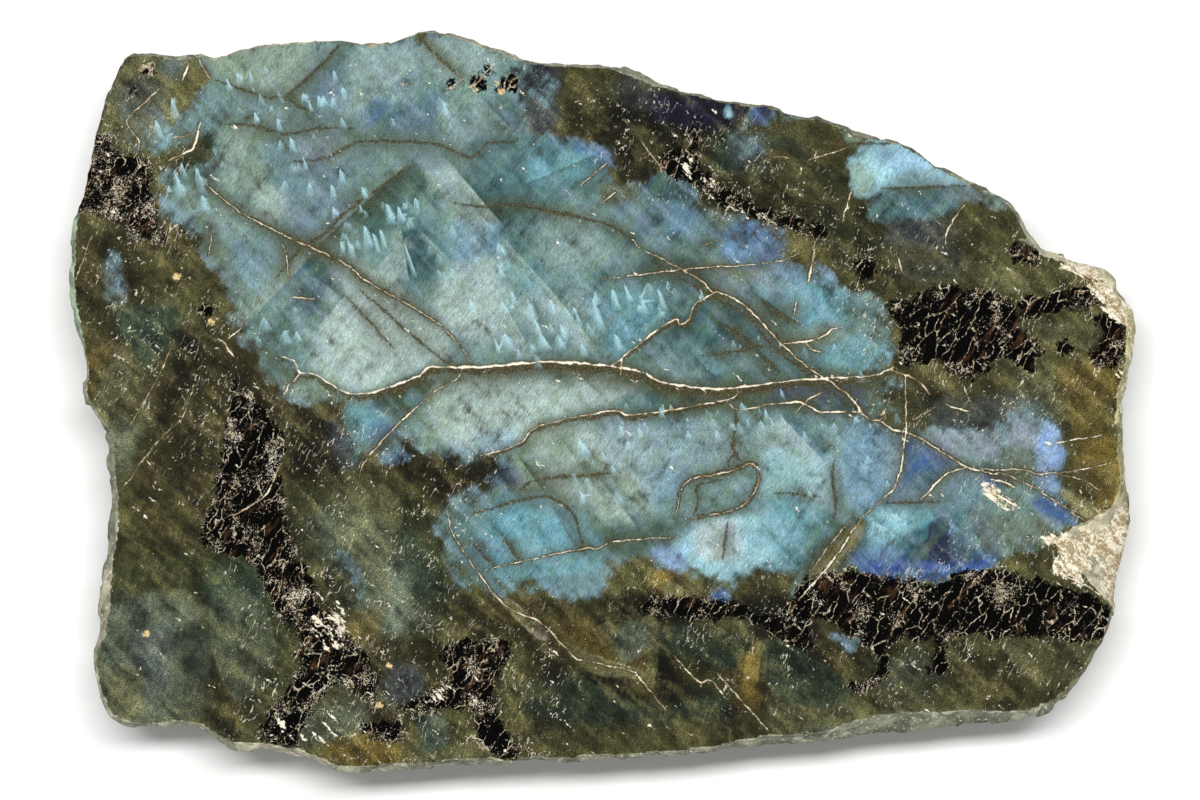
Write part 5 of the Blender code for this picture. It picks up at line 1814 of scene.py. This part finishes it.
    def _dark(
        self, nodes: Nodes, mottle: Signal, speck: Signal, brush: Signal, fray: Signal
    ) -> bpy.types.NodeSocket:
        """The dark mineral: black, with sparkling crumbs, steep strands and a few brown ridges."""
        dense = nodes.noise(nodes.place(), 3.4, 1.0, 0.5)
        ridge = nodes.noise(nodes.place(52, (4.5, 1.1, 1.0), 0.5), 1.1, 2.0, 0.6)
        rusty = nodes.scaled(self.rust, (brush * 2) ** 3.0)
        colour = nodes.mixed(ridge.ramp(0.56, 0.72) * 0.4, self.soot, rusty)
        web = nodes.cell_edges(nodes.place(62, (3.4, 1.0, 1.0), 0.8), 1.6)
        lace = nodes.cell_edges(nodes.place(42, (2.2, 0.8, 1.0), 0.9), 1.0)
        fleck = nodes.attribute("fleck")
        strands = (web * (0.6 + fleck * 1.4)).ramp(0.012, 0.055, 1.0, 0.0)
        strands = strands * (fray + (mottle - 0.5) * 0.9).ramp(-0.10, 0.10)
        crumbly = fray + (dense - 0.5) * 1.4 + fleck * 0.35 - 0.19
        fine = (lace * (0.7 + fleck)).ramp(0.01, 0.06, 1.0, 0.0)
        strands = strands.highest(fine * crumbly.ramp(0.14, 0.26))
        sparks = (speck + crumbly * 0.6).ramp(0.72, 0.86)
        pale = nodes.mixed((speck * 0.7 + mottle * 0.3 + fray * 0.3).ramp(0.46, 0.66), self.tan, self.cream)
        return nodes.mixed(strands.highest(sparks) * (0.35 + mottle * 0.7), colour, pale)

    def _wall(self, nodes: Nodes, mottle: Signal) -> bpy.types.NodeSocket:
        """The chipped rim and the broken wall."""
        place = nodes.place()
        _, shade = nodes.cells(nodes.place(bend=1.2), 2.4)
        clouds = nodes.noise(place, 7.0, 3.0, 0.6)
        crumbs = nodes.noise(place, 0.6, 4.0, 0.7)
        colour = nodes.mixed(shade * 0.6 + clouds.ramp(0.35, 0.65) * 0.5, self.flank_dark, self.flank)
        level = 0.5 + mottle.ramp(0.3, 0.7) * 0.7
        height = nodes.add("ShaderNodeSeparateXYZ", {}, {0: place})
        near_top = Signal(nodes, height.outputs[2]).ramp(18.5, 23.2)
        # the rim's colours, which hold the painted highlight along the left rim
        rind, _ = nodes.painted("rind")
        colour = nodes.mixed(near_top, colour, rind)
        colour = nodes.scaled(colour, level * (0.62 + shade * 0.74))
        return nodes.mixed(crumbs.ramp(0.56, 0.68) * 0.7, colour, self.cream)

    def _sawn_back(self, nodes: Nodes, mottle: Signal) -> bpy.types.NodeSocket:
        """The sawn back: plain feldspar under fine saw marks."""
        marks = nodes.noise(nodes.place(12, (40.0, 0.25, 1.0)), 1.4, 2.0, 0.5)
        level = 0.45 + mottle.ramp(0.3, 0.7) * 0.6 + (marks - 0.5) * 0.4
        return nodes.scaled(nodes.mixed(mottle.ramp(0.4, 0.7), self.saw, self.flank), level)


@dataclass(frozen=True)
class Paper:
    """The floor's finish: smooth pale paper.

    Attributes:
        pale: Its colour.
        tooth: Its fibres' height, in metres.
    """

    pale: Colour = (0.86, 0.86, 0.85)
    tooth: float = 0.02 * MILLIMETRE

    def material(self) -> bpy.types.Material:
        """Makes the material."""
        nodes = Nodes("pale_paper")
        fibres = nodes.noise(nodes.place(), 0.6, 1.0, 0.7)
        colour = nodes.scaled(self.pale, 0.99 + fibres * 0.02)
        return nodes.finish(colour, 0.9, fibres, self.tooth, Specular_IOR_Level=0.2)


# ---- The studio.


@dataclass(frozen=True)
class Light:
    """An area light that shines at the stone.

    Attributes:
        name: Its name.
        place: Where it stands, in metres.
        width: Its length along the row, in metres.
        height: Its length across it, in metres.
        watts: Its power.
        tint: Its colour.
    """

    name: str
    place: tuple[float, float, float]
    width: float
    height: float
    watts: float
    tint: Colour = (1.0, 1.0, 1.0)

    def build(self) -> None:
        """Adds it to the scene."""
        lamp = bpy.data.lights.new(self.name, "AREA")
        lamp.shape = "RECTANGLE"
        lamp.size = self.width
        lamp.size_y = self.height
        lamp.energy = self.watts
        lamp.color = self.tint
        holder = bpy.data.objects.new(self.name, lamp)
        holder.location = self.place
        holder.rotation_euler = (-Vector(self.place)).to_track_quat("-Z", "Y").to_euler()
        holder.visible_glossy = False
        bpy.context.scene.collection.objects.link(holder)


@dataclass(frozen=True)
class Studio:
    """The floor, the lights and the camera.

    Attributes:
        floor_side: The length of the floor's sides, in metres.
        lights: The lights.
        sky: The brightness of the even light from all round.
        lens: The camera's focal length, in millimetres.
        distance: From the camera to what it aims at, in metres.
        tilt: How far it leans from looking straight down, in degrees.
        aim: What it aims at, in metres.
    """

    floor_side: float = 6.0
    lights: tuple[Light, ...] = (Light("key", (-0.01, 0.10, 1.0), 0.46, 0.10, 9.6),)
    sky: float = 0.42
    lens: float = 135.0
    distance: float = 0.6747
    tilt: float = 3.0
    aim: tuple[float, float, float] = (-0.00034, 0.00011, 0.023)

    def build(self) -> None:
        """Adds all of it to the scene."""
        self._add_floor()
        for light in self.lights:
            light.build()
        world = bpy.data.worlds.new("studio")
        world.use_nodes = True
        background = world.node_tree.nodes["Background"]
        background.inputs["Color"].default_value = (1.0, 1.0, 1.0, 1.0)
        background.inputs["Strength"].default_value = self.sky
        bpy.context.scene.world = world
        bpy.context.scene.view_settings.view_transform = "Standard"
        self._add_camera()

    def _add_floor(self) -> None:
        """Adds the floor, a little under the stone."""
        bpy.ops.object.select_all(action="DESELECT")
        bpy.ops.mesh.primitive_plane_add(size=self.floor_side, location=(0, 0, -0.05 * MILLIMETRE))
        floor = bpy.context.object
        floor.name = "floor"
        floor.data.materials.append(Paper().material())

    def _add_camera(self) -> None:
        """Adds the camera, which looks down at the polished face."""
        camera = bpy.data.cameras.new("camera")
        camera.lens = self.lens
        camera.sensor_width = 36.0
        holder = bpy.data.objects.new("camera", camera)
        lean = math.radians(self.tilt)
        away = Vector((0.0, -math.sin(lean), math.cos(lean))) * self.distance
        holder.location = Vector(self.aim) + away
        holder.rotation_euler = (lean, 0.0, 0.0)
        bpy.context.scene.collection.objects.link(holder)
        bpy.context.scene.camera = holder


def main() -> None:
    """Builds the stone and its studio over the CAD frame."""
    logging.basicConfig(level=logging.INFO)
    noise.seed_set(Drawing.SEED)
    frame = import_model()
    node = frame["nodes"][STONE_NODE]
    corners = [Vector(corner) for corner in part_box(STONE_NODE)]
    sheet = Sheet(corners[0], corners[1])
    piece = Stone(sheet, Drawing()).build(node)
    piece.data.materials.append(Feldspar().material())
    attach(piece, "root")
    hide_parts(STONE_NODE)
    LOG.info("the stone has %d triangles", len(piece.data.polygons))
    Studio().build()


if __name__ == "__main__":
    main()
